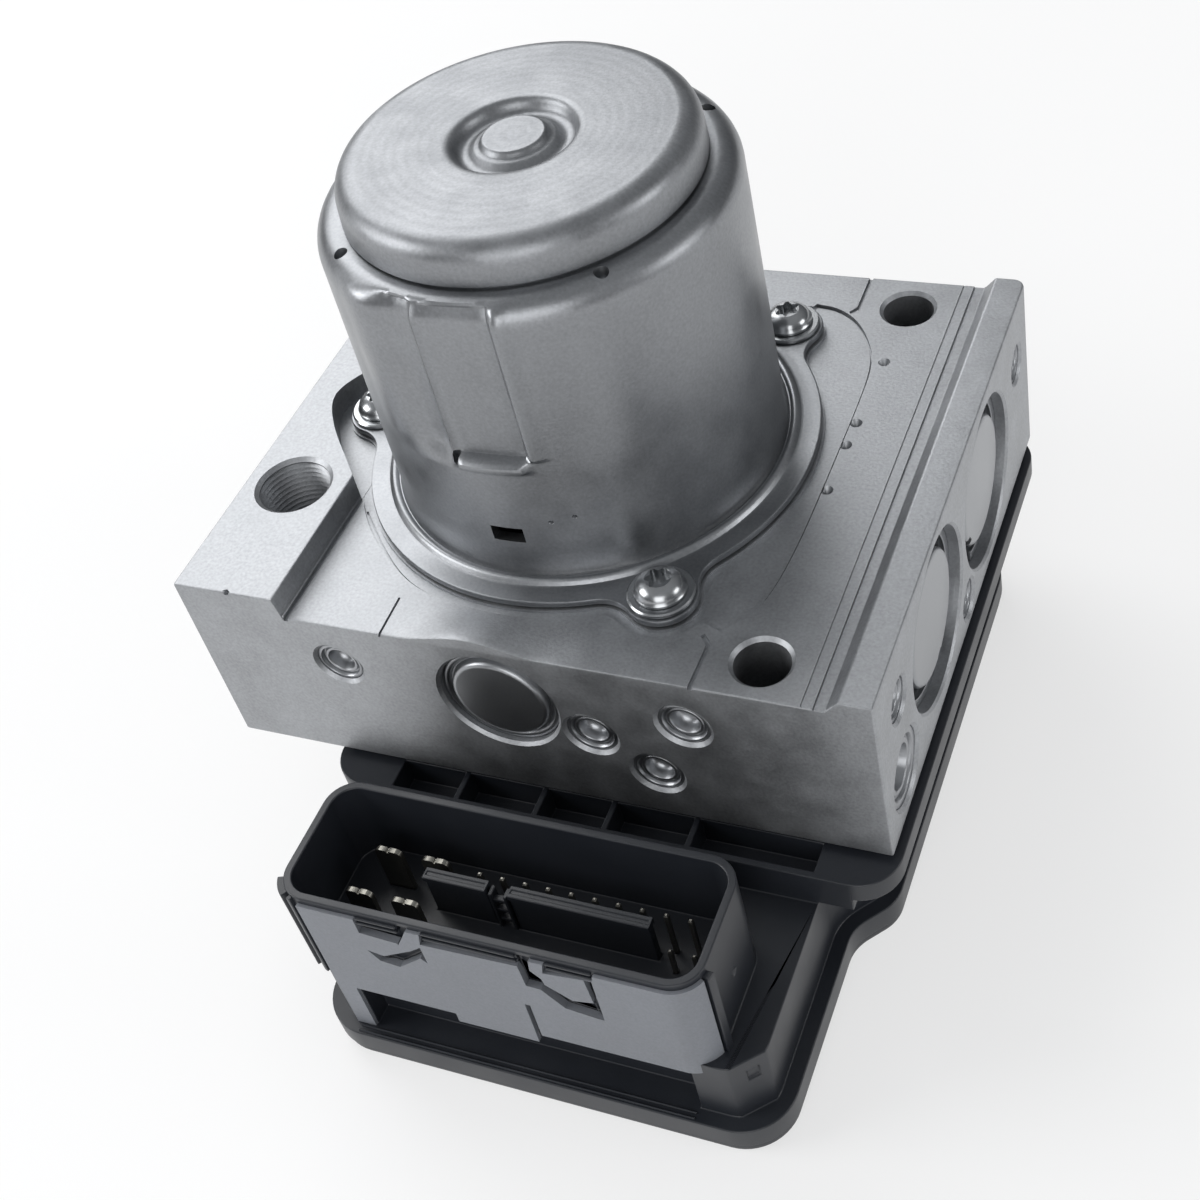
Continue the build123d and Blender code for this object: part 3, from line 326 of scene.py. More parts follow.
def flange_outline(grow):
    """Outline of the motor's flange: a circle with three ears blended into it, grown by a margin."""
    plate, ear, blend = FLANGE_RADIUS + grow, EAR_RADIUS + grow, EAR_BLEND - grow
    reach = plate + blend
    cosine = (EAR_CIRCLE ** 2 + reach ** 2 - (ear + blend) ** 2) / (2 * EAR_CIRCLE * reach)
    lean = degrees(atan2(sqrt(1 - cosine ** 2), cosine))
    # one ear about the X axis: blend, tip and blend
    centre = polar(reach, lean)
    tangent = degrees(atan2(centre[1], centre[0] - EAR_CIRCLE))
    inward = lean + 180
    ear_side = degrees(atan2(-centre[1], EAR_CIRCLE - centre[0])) % 360
    below = arc((centre[0], -centre[1]), blend, 360 - inward, 360 - ear_side, 8)
    above = arc(centre, blend, ear_side, inward, 8)
    one_ear = below[:-1] + arc((EAR_CIRCLE, 0), ear, -tangent, tangent, 24) + above[1:]
    points = []
    order = sorted(EAR_ANGLES)
    for angle, following in zip(order, order[1:] + [order[0] + 360]):
        c, s = cos(radians(angle)), sin(radians(angle))
        points += [(x * c - y * s, x * s + y * c) for x, y in one_ear]
        steps = max(2, int((following - angle - 2 * lean) / 3))
        points += arc((0, 0), plate, angle + lean, following - lean, steps)[1:-1]
    return points


# ---------------------------------------------------------------- materials

def linear(code):
    """Turn an sRGB hex colour to linear RGBA."""
    values = [int(code[n:n + 2], 16) / 255 for n in (1, 3, 5)]
    return tuple(v / 12.92 if v <= 0.04045 else ((v + 0.055) / 1.055) ** 2.4 for v in values) + (1.0,)


def wire(tree, node, links):
    """Link a node's inputs to (node, output) pairs."""
    for key, (source, output) in links.items():
        tree.links.new(source.outputs[output], node.inputs[key])


def add_node(tree, kind, links=None, **values):
    """Add one shader node with its values and its links."""
    node = tree.nodes.new(kind)
    for key, value in values.items():
        if hasattr(node, key):
            setattr(node, key, value)
        else:
            node.inputs[key.replace("_", " ").title()].default_value = value
    wire(tree, node, links or {})
    return node


def shaded(tree, colour, spread, source, output):
    """A colour that wanders a little to both sides of its value, as a pattern says."""
    ramp = add_node(tree, "ShaderNodeValToRGB", {"Fac": (source, output)})
    for element, factor in zip(ramp.color_ramp.elements, (1 - spread, 1 + spread)):
        element.color = tuple(min(1.0, c * factor) for c in colour[:3]) + (1.0,)
    ramp.color_ramp.elements[0].position = 0.3
    ramp.color_ramp.elements[1].position = 0.7
    return ramp


def plain_material(name):
    """A new material, its nodes and its shader."""
    material = bpy.data.materials.new(name)
    material.use_nodes = True
    return material, material.node_tree, material.node_tree.nodes["Principled BSDF"]


def finish(name, colour, metallic, roughness, grain,
           spread=0.06, relief=0.01, mottle=6.0, gloss=0.04, ior=None, rings=0.0):
    """A surface finish: fine grain (mm) with its relief (mm), soft mottling (mm) and turning rings (mm)."""
    material, tree, shader = plain_material(name)
    shader.inputs["Metallic"].default_value = metallic
    if ior:
        shader.inputs["IOR"].default_value = ior
    place = add_node(tree, "ShaderNodeTexCoord")
    on_object = {"Vector": (place, "Object")}
    fine, soft = (add_node(tree, "ShaderNodeTexNoise", on_object, scale=1 / (size * MM), detail=detail)
                  for size, detail in ((grain, 2.0), (mottle, 3.0)))
    both = add_node(tree, "ShaderNodeMix", {"A": (fine, "Fac"), "B": (soft, "Fac")}, data_type="FLOAT")
    height = (fine, "Fac")
    if rings:
        # the wave repeats every 2 pi / (20 scale) metres
        lathe = add_node(tree, "ShaderNodeTexWave", on_object, wave_type="RINGS", rings_direction="Z",
                         scale=2 * pi / (20 * rings * MM), distortion=1.5, detail=1.0, detail_scale=0.4)
        both, relief_mix = (
            add_node(tree, "ShaderNodeMix", {"A": under, "B": (lathe, "Fac")},
                     data_type="FLOAT", factor=share)
            for under, share in (((both, "Result"), 0.08), ((fine, "Fac"), 0.03)))
        height = (relief_mix, "Result")
    tint = shaded(tree, colour, spread, both, "Result")
    sheen = add_node(tree, "ShaderNodeMapRange", {"Value": (soft, "Fac")}, from_min=0.3, from_max=0.7,
                     to_min=roughness - gloss, to_max=roughness + gloss)
    bump = add_node(tree, "ShaderNodeBump", {"Height": height}, strength=1.0, distance=relief * MM)
    wire(tree, shader, {"Base Color": (tint, "Color"), "Roughness": (sheen, "Result"),
                        "Normal": (bump, "Normal")})
    return material


class BrakeModuleSettings(bpy.types.PropertyGroup):
    """Sizes and colours that a user may change."""
    edge_rounding: bpy.props.FloatProperty(
        name="Edge rounding", description="Radius on the machined edges of the valve block",
        default=0.35 * MM, min=0.0, max=MM, subtype="DISTANCE", unit="LENGTH")
    thread_pitch: bpy.props.FloatProperty(
        name="Thread pitch", description="Pitch of the threads in the brake pipe ports",
        default=1.0 * MM, min=0.5 * MM, max=2.0 * MM, subtype="DISTANCE", unit="LENGTH")
    shoulder_radius: bpy.props.FloatProperty(
        name="Shoulder radius", description="Radius of the drawn shoulder of the motor can",
        default=3.6 * MM, min=MM, max=5.0 * MM, subtype="DISTANCE", unit="LENGTH")
    aluminium: bpy.props.FloatVectorProperty(
        name="Aluminium", description="Colour of the valve block", subtype="COLOR", size=4,
        default=linear("#A6A8AB"), min=0.0, max=1.0)
    steel: bpy.props.FloatVectorProperty(
        name="Zinc-plated steel", description="Colour of the motor case", subtype="COLOR", size=4,
        default=linear("#8F9194"), min=0.0, max=1.0)
    plastic: bpy.props.FloatVectorProperty(
        name="Housing plastic", description="Colour of the control unit", subtype="COLOR", size=4,
        default=linear("#202329"), min=0.0, max=1.0)


def settings():
    return bpy.context.scene.brake_module


def finishes():
    """All the surface finishes, made once."""
    chosen = settings()
    made = {
        # blasted and machined cast aluminium: pale, satin, with an even fine grain
        "aluminium": ("Blasted aluminium", tuple(chosen.aluminium), 1.0, 0.50, 0.5,
                      dict(relief=0.03, spread=0.18)),
        # deep-drawn steel with a thin bright zinc plating: softly mottled, half matt
        "drawn": ("Drawn zinc-plated steel", tuple(chosen.steel), 1.0, 0.38, 0.5,
                  dict(relief=0.02, spread=0.15, mottle=9.0, gloss=0.07)),
        # the end cap's top was dressed on a lathe: fine rings over the same plating
        "lathed": ("Turned zinc-plated steel", tuple(chosen.steel), 1.0, 0.44, 0.5,
                   dict(relief=0.02, spread=0.18, gloss=0.07, rings=1.7)),
        # screws and washers: bright zinc, smoother than the can
        "bright": ("Bright zinc plating", linear("#A4A6A8"), 1.0, 0.24, 0.6, dict(relief=0.002)),
        # turned aluminium plugs, brighter than the block around them
        "plug": ("Turned aluminium", linear("#A0A2A5"), 1.0, 0.36, 0.4,
                 dict(relief=0.006, mottle=16.0)),
        # injection-moulded glass-filled nylon: near black with a blue cast, half gloss, fine mould texture
        "plastic": ("Moulded nylon", tuple(chosen.plastic), 0.0, 0.40, 0.3,
                    dict(relief=0.006, spread=0.10, mottle=12.0, gloss=0.05, ior=1.53)),
        # the same nylon where the mould was spark-eroded: matt; its lighter grey is a painted sheen of the
        # front light on the socket's panel
        "eroded": ("Spark-eroded nylon", linear("#75787E"), 0.0, 0.55, 0.4,
                   dict(relief=0.015, spread=0.12, mottle=10.0, gloss=0.05, ior=1.53)),
        # tin-plated bronze contacts
        "tin": ("Tinned bronze", linear("#8C8A83"), 1.0, 0.35, 0.3, dict(relief=0.001)),
        # seals: matt black rubber
        "rubber": ("Sealing rubber", linear("#17181A"), 0.0, 0.75, 0.3, dict(ior=1.52)),
        # printed circuit board: green solder resist over glass laminate
        "board": ("Green laminate", linear("#1F5A3C"), 0.0, 0.35, 0.8, dict(relief=0.004, ior=1.52)),
        # hardened and ground steel of shafts, races and pistons
        "hard": ("Ground steel", linear("#B9BABC"), 1.0, 0.18, 0.5, dict(relief=0.001, spread=0.03)),
        # stacked steel laminations, varnished dull
        "core": ("Laminated steel", linear("#6E6A66"), 1.0, 0.45, 0.5, dict(relief=0.006)),
        # enamelled copper wire
        "winding": ("Enamelled copper", linear("#B5602F"), 1.0, 0.32, 0.9, dict(relief=0.05)),
        # bare hard copper of the commutator
        "copper": ("Bare copper", linear("#C98A5E"), 1.0, 0.28, 0.5, dict(relief=0.002)),
        # sintered ferrite: dark grey and matt
        "ferrite": ("Sintered ferrite", linear("#35363A"), 0.0, 0.62, 0.4, dict(ior=1.6)),
        # moulded polyester brush holder
        "holder": ("Moulded polyester", linear("#2E2E2E"), 0.0, 0.45, 0.4, dict(relief=0.006, ior=1.55)),
        # pressed copper-carbon brushes
        "carbon": ("Copper carbon", linear("#3B3432"), 0.0, 0.55, 0.3, dict(relief=0.006, ior=1.6)),
        # drawn spring wire
        "spring": ("Spring steel", linear("#8E8F92"), 1.0, 0.3, 0.4, dict(relief=0.002)),
        # yokes of the valve coils: plated sheet steel
        "yoke": ("Plated yoke steel", linear("#A3A19A"), 1.0, 0.35, 0.5, dict(relief=0.003)),
    }
    return {
        key: bpy.data.materials.get(name) or finish(name, colour, metallic, roughness, grain, **extra)
        for key, (name, colour, metallic, roughness, grain, extra) in made.items()
    }


# ---------------------------------------------------------------- valve block

def port_cutter(radius, mouth, depth, at, axis):
    """Cutting tool for a tapped port: chamfer, thread grooves, plain end and drill point."""
    pitch = settings().thread_pitch / MM
    crest, lip = radius - 0.1, mouth + 0.35
    profile = [(0.2, -depth - 2.4), (crest, -depth)]
    height = -depth + 1.2
    while height < -(mouth - radius) - pitch:
        profile += [(crest, height), (radius + 0.5, height + 0.5 * pitch)]
        height += pitch
    profile += [(crest, height), (crest, radius - mouth), (mouth, 0), (lip, 0.35), (lip, 6)]
    return round_tool(profile, at, axis, 64)


def bore_cutter(steps, at, axis, segments=64, chamfer=0.25):
    """Cutting tool for a stepped bore, from (radius, depth) steps, mouth first, with its edge broken."""
    mouth = steps[0][0]
    profile = []
    for radius, depth in reversed(steps):
        if profile:
            profile.append((profile[-1][0], -depth))
        profile.append((radius, -depth))
    profile += [(mouth, -chamfer), (mouth + chamfer, 0), (mouth + chamfer, 4)]
    return round_tool(profile, at, axis, segments)


UNIT_SCREWS = ((41.3, -39.3), (41.3, 39.9))
INLET_YS = (-21.9, 23.1)
OUTLET_YS = (-32.4, -10.4, 11.6, 33.6)
VALVES = [(x, y) for x in (-20.0, 20.0) for y in (-33.5, -13.5, 6.5, 26.5)]
# plugged drillings: place and direction, radius, depth, broken edge and segments
PLUGS = [((x, FRONT, z), FORWARD, radius, 5.0, 0.55, 48) for x, z, radius in (
    (14.5, 43.2, 4.1), (30.3, 49.3, 4.1), (24.0, 36.6, 4.1), (-27.0, 49.4, 3.9))]
PLUGS += [((RIGHT, y, z), RIGHTWARD, radius, 5.0, 0.45, 48) for y, z, radius in (
    (38.4, 49.8, 3.4), (1.3, 32.0, 3.4), (-35.8, 50.5, 3.5))]
PLUGS.append(((RIGHT, -36.1, 35.4), RIGHTWARD, 6.3, 9.0, 0.5, 64))
PUMP_ENDS = ((FRONT, FORWARD), (BACK, REARWARD))
PUMP_BORE = 9.7
PUMP_SHOULDER = 36.86
ACCUMULATORS = ((16.4, 43.8), (-14.8, 44.6))
# outer line of the shallow pocket right of the motor, front to back
POCKET_EDGE = softened([
    (33.6, -35.1), (37.5, -30.2), (38.8, -24.6), (39.4, -16.9), (39.6, -8.3), (39.6, 14.7),
    (39.3, 23.7), (38.1, 28.6), (34.3, 35.0), (29.9, 38.3), (25.6, 38.9)])
# front half of the edge of the wide recess left of the motor, from the left ear to the front
LEFT_RECESS = softened([
    (-47.4, 0.0), (-47.1, -2.0), (-45.7, -4.8), (-42.8, -9.0), (-37.8, -14.6), (-33.5, -19.6),
    (-28.6, -24.9), (-24.7, -29.0), (-21.1, -32.3), (-17.5, -34.8), (-13.0, -36.7), (-8.1, -37.5)])
DIMPLES = ((41.0, 25.9), (40.6, 10.9), (40.4, 5.7), (40.4, -4.5))


def scribed(line, width, low, high):
    """Cutting tool for a narrow groove along an open line of (x, y) points."""
    sides = [], []
    for n, (x, y) in enumerate(line):
        (ax, ay), (bx, by) = line[max(0, n - 1)], line[min(len(line) - 1, n + 1)]
        length = hypot(bx - ax, by - ay)
        nx, ny = (ay - by) / length * width / 2, (bx - ax) / length * width / 2
        sides[0].append((x + nx, y + ny))
        sides[1].append((x - nx, y - ny))
    return prism("groove cutter", sides[0] + sides[1][::-1], low, high)


def swell(x, depth):
    """Rise of the block's top over the front pump bore, by the place across and from the front edge."""
    across = max(0.0, cos(pi / 2 * min(1.0, abs(x + 2.5) / 12.5))) ** 2
    back = 1 - min(1.0, depth / 9.5)
    return 1.9 * across * back * back * (3 - 2 * back)


class BRAKEMODULE_OT_valve_block(bpy.types.Operator):
    """Build the machined aluminium valve block"""
    bl_idname = "brakemodule.valve_block"
    bl_label = "Valve Block"

    def execute(self, context):
        edge = settings().edge_rounding / MM
        block = box("machined_block", (LEFT, FRONT, BASE), (RIGHT, BACK, TOP))
        edit(block)
        strip_edge, strip_foot = LEFT + 17.9, LEFT + 18.6
        ridge_foot, ridge_edge = RIGHT - 6.8, RIGHT - 5.0
        for x in (strip_edge, strip_foot, ridge_foot, ridge_edge):
            take_all()
            bpy.ops.mesh.bisect(plane_co=(x * MM, 0, 0), plane_no=(1, 0, 0))
        pick(block, lambda v: v.z > TOP - 0.1 and v.x < strip_edge + 0.1, "verts")
        bpy.ops.transform.translate(value=(0, 0, STRIP_RISE * MM))
        pick(block, lambda v: v.z > TOP - 0.1 and v.x > ridge_edge - 0.1, "verts")
        bpy.ops.transform.translate(value=(0, 0, (RIDGE_TOP - TOP) * MM))
        # the rear right upright edge is rounded by 2 mm
        pick(block, lambda a, b: min(a.x, b.x) > RIGHT - 0.1 and min(a.y, b.y) > BACK - 0.1
             and abs(a.z - b.z) > 5, "edges")
        bpy.ops.mesh.bevel(offset=2.0 * MM, segments=6)
        close_edit()
        rounded(block, edge, angle=30)
        # soft swell of the top over the front pump bore, on a fine net of edges
        edit(block)
        for n in range(-12, 13):
            pick(block, lambda c, normal: normal.z > 0.9 and strip_foot < c.x < ridge_foot)
            bpy.ops.mesh.bisect(plane_co=((n * 1.25 - 2.5) * MM, 0, 0), plane_no=(1, 0, 0))
        for n in range(1, 9):
            pick(block, lambda c, normal: normal.z > 0.9 and -19 < c.x < 14)
            bpy.ops.mesh.bisect(plane_co=(0, (FRONT + n * 1.2) * MM, 0), plane_no=(0, 1, 0))
        close_edit()
        for vertex in block.data.vertices:
            x, y, z = vertex.co / MM
            if z > TOP - 1.2 and strip_foot + 1 < x < ridge_foot - 1 and y < FRONT + 10:
                vertex.co.z += swell(x, y - FRONT) * MM
        # recess around the motor's flange, also through the raised strip, joined with the wide recess to
        # its left and the shallow pocket to its right, and the flange's seat left standing in it
        recess, left, pocket = (
            prism("recess cutter", outline, TOP - 0.5, STRIP_TOP + 3)
            for outline in (flange_outline(1.8),
                            LEFT_RECESS + [(x, -y) for x, y in reversed(LEFT_RECESS[1:])],
                            POCKET_EDGE + [(20.0, 30.0), (20.0, -30.0)]))
        cut(recess, [left, pocket], "UNION")
        tools = [cut(recess, [prism("island", flange_outline(0.3), TOP - 2, TOP)])]
        # the lines along the pocket's edge and the recess's edge, and the steps to the front and the back
        tools.append(scribed(POCKET_EDGE, 0.35, TOP - 0.9, TOP + 2))
        tools.append(scribed([point for point in LEFT_RECESS if point[1] < -21.0], 0.3, TOP - 0.9, TOP + 2))
        for outline in (
            ((32.4, FRONT - 2), (33.1, FRONT - 2), (33.2, -37.6), (31.6, -36.0), (31.1, -36.5),
             (32.5, -38.1)),
            ((32.6, BACK + 2), (32.7, 39.2), (31.7, 37.7), (32.1, 37.2), (33.4, 38.7), (33.3, BACK + 2)),
            ((-17.4, -38.4), (-17.1, FRONT - 2), (-16.7, FRONT - 2), (-17.0, -38.4)),
        ):
            tools.append(prism("step cutter", outline, TOP - 0.5, TOP + 2))
        # straight grooves from front to back: at the ridge's foot, at the strip's foot, and a fine line
        for low, high, depth in ((ridge_foot - 1.9, ridge_foot - 0.1, 0.35),
                                 (strip_foot + 0.1, strip_foot + 0.9, 0.55),
                                 (LEFT + 101.5, LEFT + 101.8, 0.2)):
            tools.append(box("groove cutter", (low, FRONT - 2, TOP - depth), (high, BACK + 2, TOP + 1)))
        tools += [round_tool([(0.1, -1.2), (1.0, 0.0), (1.4, 0.5)], (x, y, TOP)) for x, y in DIMPLES]
        # seat of the motor's bearing, and the bore for its terminals
        tools.append(bore_cutter([(12.0, TOP - 42.3), (4.6, TOP - 37.6)], (0, 0, TOP), UP))
        tools.append(round_tool([(2.8, BASE - 1), (2.8, TOP + 1)], (-16.5, -3.5, 0), segments=32))
        bores = []
        for face, axis in PUMP_ENDS:
            reach = abs(face)
            bores.append(([(PUMP_BORE, reach - PUMP_SHOULDER), (6.5, reach - 10.0)],
                          (0, face, PUMP_AXIS), axis, 64, 0.5))
        bores += [([(14.3, 5.2), (12.4, 28.0)], (RIGHT, y, z), RIGHTWARD, 96, 0.4) for y, z in ACCUMULATORS]
        bores += [([(radius, depth)], at, axis, segments, chamfer)
                  for at, axis, radius, depth, chamfer, segments in PLUGS]
        bores += [([(5.0, 13.0)], (x, y, BASE), DOWN, 48) for x, y in VALVES]
        tools += [bore_cutter(*bore) for bore in bores]
        tools += [port_cutter(6.0, 6.6, 14.0, (LEFT + 8.8, y, STRIP_TOP), UP) for y in INLET_YS]
        tools += [port_cutter(4.6, 5.2, 11.0, (LEFT, y, BASE + 15.0), LEFTWARD) for y in OUTLET_YS]
        tools += [bore_cutter([(2.5, 12.0)], (x, y, TOP), UP, 32) for x, y in EARS]
        tools += [bore_cutter([(4.2, TOP - BASE - 6.0), (2.2, TOP - BASE + 1)], (x, y, TOP), UP, 48, 0.6)
                  for x, y in UNIT_SCREWS]
        # the small nick in the front edge of the strip
        tools.append(round_tool([(0.1, -1.0), (1.4, 0.9)], (-42.9, FRONT + 0.1, STRIP_TOP), (0, -1, 1), 5))
        cut(block, tools)
        smoothed(block, 32)
        show(block, finishes()["aluminium"], "machined_aluminium", "valve_block")
        return {"FINISHED"}


# ---------------------------------------------------------------- motor

FLAT_MIDDLE = -87.0
FLAT_FOOT = FLANGE_BOTTOM + 24.2
STAKE_ANGLES = (-133.0, -45.3, 41.3, 135.0)
STAKE_CIRCLE = 28.5


def ease(value, start, end):
    """Smooth step from 0 to 1."""
    t = min(1.0, max(0.0, (value - start) / (end - start)))
    return t * t * (3 - 2 * t)


def pressed(x, y, z):
    """How far the can's wall stands off its round form: the pressed flat with its fold and ridges."""
    angle = (degrees(atan2(y, x)) - FLAT_MIDDLE + 180) % 360 - 180
    along = radians(angle) * CAN_RADIUS
    high = 1 - ease(z, SHELF - 1.3, SHELF - 0.2)
    low = ease(z, FLAT_FOOT - 0.25, FLAT_FOOT + 0.25)
    chord = (CAN_RADIUS - 1.3) / cos(radians(max(-25.0, min(25.0, angle)))) - CAN_RADIUS
    side = ease(along, -6.4, -5.5) * (1 - ease(along, 5.3, 5.9))
    offset = chord * side * low
    # crisp ridge right of the flat
    offset += 0.42 * ease(along, 5.2, 6.2) * (1 - ease(along, 6.6, 8.8)) * low
    # wide soft fold left of the flat, and the soft ridge beyond it
    fold = ease(along, -14.5, -9.5) * (1 - ease(along, -7.5, -6.0))
    ridge = ease(along, -22.0, -17.0) * (1 - ease(along, -16.5, -13.0))
    fade = ease(z, FLAT_FOOT - 3.0, FLAT_FOOT + 2.0)
    offset += (-1.5 * fold + 0.5 * ridge) * fade
    # rolled lip of the lanced bar under the flat
    lip = ease(z, FLAT_FOOT - 2.6, FLAT_FOOT - 1.6) * (1 - ease(z, FLAT_FOOT - 0.9, FLAT_FOOT))
    offset += 0.9 * lip * ease(along, -6.0, -5.2) * (1 - ease(along, 4.4, 5.6))
    # sharp creases to both sides of the flat
    for crease, depth in ((-6.1, 0.5), (5.6, 0.3)):
        offset -= depth * max(0.0, 1 - abs(along - crease) / 0.8) * low
    # faint line down the flat
    offset -= 0.12 * (1 - min(1.0, abs(along + 3.3) / 0.5)) * low if abs(along + 3.3) < 0.5 else 0.0
    return offset * high


class BRAKEMODULE_OT_motor_can(bpy.types.Operator):
    """Build the deep-drawn motor can with its flange and three ears"""
    bl_idname = "brakemodule.motor_can"
    bl_label = "Motor Can"

    def execute(self, context):
        shoulder = settings().shoulder_radius / MM
        wall = 1.6
        foot = FLANGE_TOP
        outer = [
            (CAN_RADIUS - wall, FLANGE_BOTTOM), (35.6, FLANGE_BOTTOM), (35.9, FLANGE_BOTTOM + 0.3),
            (35.9, foot - 0.3), (35.6, foot)]
        # the rolled bead at the foot of the wall, as (radius, height over the flange)
        outer += [(radius, foot + height) for radius, height in (
            (34.0, 0), (33.6, 0.12), (33.3, 0.5), (33.05, 0.8), (32.7, 0.93), (32.3, 0.85), (32.05, 0.6),
            (31.95, 0.42), (31.8, 0.42), (31.65, 0.62), (31.5, 1.1), (31.35, 1.9), (CAN_RADIUS, 3.2))]
        heights = [h for h in (foot + 5 + n * 2.2 for n in range(8)) if h < FLAT_FOOT - 4]
        heights += [FLAT_FOOT - 3.4 + n * 0.24 for n in range(18)]
        heights += [FLAT_FOOT + 1.5 + n * 2.1 for n in range(11)]
        top = SHELF - shoulder
        outer += [(CAN_RADIUS, h) for h in heights if h < top - 0.8] + [(CAN_RADIUS, top)]
        outer += [polar(shoulder, angle, (CAN_RADIUS - shoulder, top))
                  for angle in (11, 22, 33, 44, 55, 66, 78, 90)]
        inside = CAN_RADIUS - wall
        inner = [(24.4, SHELF), (24.4, SHELF - wall), (CAN_RADIUS - shoulder, SHELF - wall),
                 (inside - 0.4, top + 0.5), (inside, top), (inside, FLANGE_BOTTOM)]
        can = turned("drawn_can", outer + inner, 288)
        for vertex in can.data.vertices:
            x, y, z = vertex.co / MM
            radius = hypot(x, y)
            if z > foot + 4 and radius > CAN_RADIUS - 2.2 and y < 0:
                scale = (radius + pressed(x, y, z)) / radius
                vertex.co.x *= scale
                vertex.co.y *= scale
        plate = prism("ears", flange_outline(0.0), FLANGE_BOTTOM, FLANGE_TOP)
        rounded(plate, 0.28, 50)
        middle = round_tool([(34.9, -3), (34.9, 3)], (0, 0, FLANGE_TOP), segments=128)
        holes = [round_tool([(2.7, -3), (2.7, 3)], (x, y, FLANGE_TOP), segments=32) for x, y in EARS]
        cut(plate, [middle] + holes)
        cut(can, [plate], "UNION")
        tools = []
        # lanced slot near the foot of the can, and the dark notch at the left end of the bar
        for along, height, wide, tall, depth in ((-1.1, FLANGE_BOTTOM + 9.4, 5.2, 2.8, 2.6),
                                                 (-5.9, FLAT_FOOT - 0.6, 1.3, 2.0, 1.4)):
            slot = box("slot cutter", (-wide / 2, -tall / 2, -depth), (wide / 2, tall / 2, 3))
            x, y = polar(CAN_RADIUS, FLAT_MIDDLE + degrees(along / CAN_RADIUS))
            tools.append(placed(slot, (x, y, height), (x, y, 0)))
        # pits in the wall, and stakes punched into the shelf
        for angle, height in ((-75.5, FLANGE_BOTTOM + 12.2), (-68.8, FLANGE_BOTTOM + 12.9)):
            x, y = polar(CAN_RADIUS, angle)
            tools.append(round_tool([(0.15, -0.5), (0.5, 0.2)], (x, y, height), (x, y, 0), 16))
        tools += [round_tool([(0.9, -1.5), (1.15, 0.6)], (*polar(STAKE_CIRCLE, angle), SHELF))
                  for angle in STAKE_ANGLES]
        cut(can, tools)
        smoothed(can, 34)
        show(can, finishes()["drawn"], "zinc_plated_steel", "motor_can")
        return {"FINISHED"}


class BRAKEMODULE_OT_motor_end_cap(bpy.types.Operator):
    """Build the end cap of the motor with its dished boss"""
    bl_idname = "brakemodule.motor_end_cap"
    bl_label = "Motor End Cap"

    def execute(self, context):
        edge, wall = 3.4, 1.5
        low, radius = SHELF, CAP_RADIUS
        profile = [(radius - wall, low), (radius - 0.5, low), (radius - 0.5, low + 0.35), (radius, low + 0.4),
                   (radius, low + 0.9), (radius - 0.12, CAP_TOP - edge)]
        start = radius - 0.12 - edge
        profile += [polar(edge, angle, (start, CAP_TOP - edge)) for angle in range(10, 91, 10)]
        # funnel-shaped dish, groove, low cone, stepped ring and flat boss, as (radius, depth)
        profile += [(radius, CAP_TOP - depth) for radius, depth in (
            (10.4, 0), (9.7, 0.08), (9.2, 0.35), (8.9, 0.9), (8.6, 1.5), (8.2, 1.85), (7.6, 2.0), (7.0, 1.95),
            (6.6, 1.7), (6.1, 1.2), (5.7, 1.0), (5.3, 0.95), (5.05, 0.75), (4.85, 0.4), (4.6, 0.12),
            (4.3, 0))]
        cap = turned("dished_end_cap", profile, 160)
        edit(cap)
        # hollow from below, as it was pressed
        pick(cap, lambda c, normal: normal.z < -0.9 and c.z < low + 0.1 and hypot(c.x, c.y) < 1)
        bpy.ops.mesh.extrude_region_move(TRANSFORM_OT_translate={"value": (0, 0, (edge - 0.6) * MM)})
        close_edit()
        smoothed(cap, 40)
        show(cap, finishes()["lathed"], "zinc_plated_steel", "motor_end_cap")
        return {"FINISHED"}


class BRAKEMODULE_OT_motor_screws(bpy.types.Operator):
    """Build the three domed screws and their washers"""
    bl_idname = "brakemodule.motor_screws"
    bl_label = "Motor Screws"

    def execute(self, context):
        thick = HEAD_SEAT - FLANGE_TOP
        washer = turned("Washer", [(2.7, 0.0), (4.9, 0.0), (5.15, 0.18), (5.15, thick - 0.22), (4.9, thick),
                                   (2.7, thick), (2.7, 0.0)], 64)
        smoothed(washer, 40)
        head = [(2.5, -10.5), (2.5, -0.1), (3.75, 0.0), (4.0, 0.12), (4.0, 0.5), (3.85, 0.68)]
        head += [(3.75 * cos(radians(a)), 0.7 + 2.3 * sin(radians(a)))
                 for a in (10, 20, 30, 40, 50, 60, 68, 75)]
        head += [(0.6, 3.0)]
        screw = turned("Screw", head, 64)
        lobe = prism("lobe cutter", [
            polar(1.75 + 0.33 * cos(radians(6 * a)), a) for a in range(0, 360, 6)], 1.3, 4.0)
        rim = turned("rim cutter", [(2.0, 2.62), (2.6, 3.2)], 48)
        cut(screw, [lobe, rim])
        smoothed(screw, 36)
        for source, height, name, node in ((screw, HEAD_SEAT, "domed_screws", "motor_screws"),
                                           (washer, FLANGE_TOP, "plain_washers", "motor_washers")):
            copies = []
            for number, (x, y) in enumerate(EARS):
                only(source)
                bpy.ops.object.duplicate(linked=False)
                copies.append(placed(bpy.context.active_object, (x, y, height), spin=17.0 + 29 * number))
            bpy.data.objects.remove(source)
            show(joined(name, copies), finishes()["bright"], "bright_screw_steel", node)
        return {"FINISHED"}


# ---------------------------------------------------------------- plugs and caps

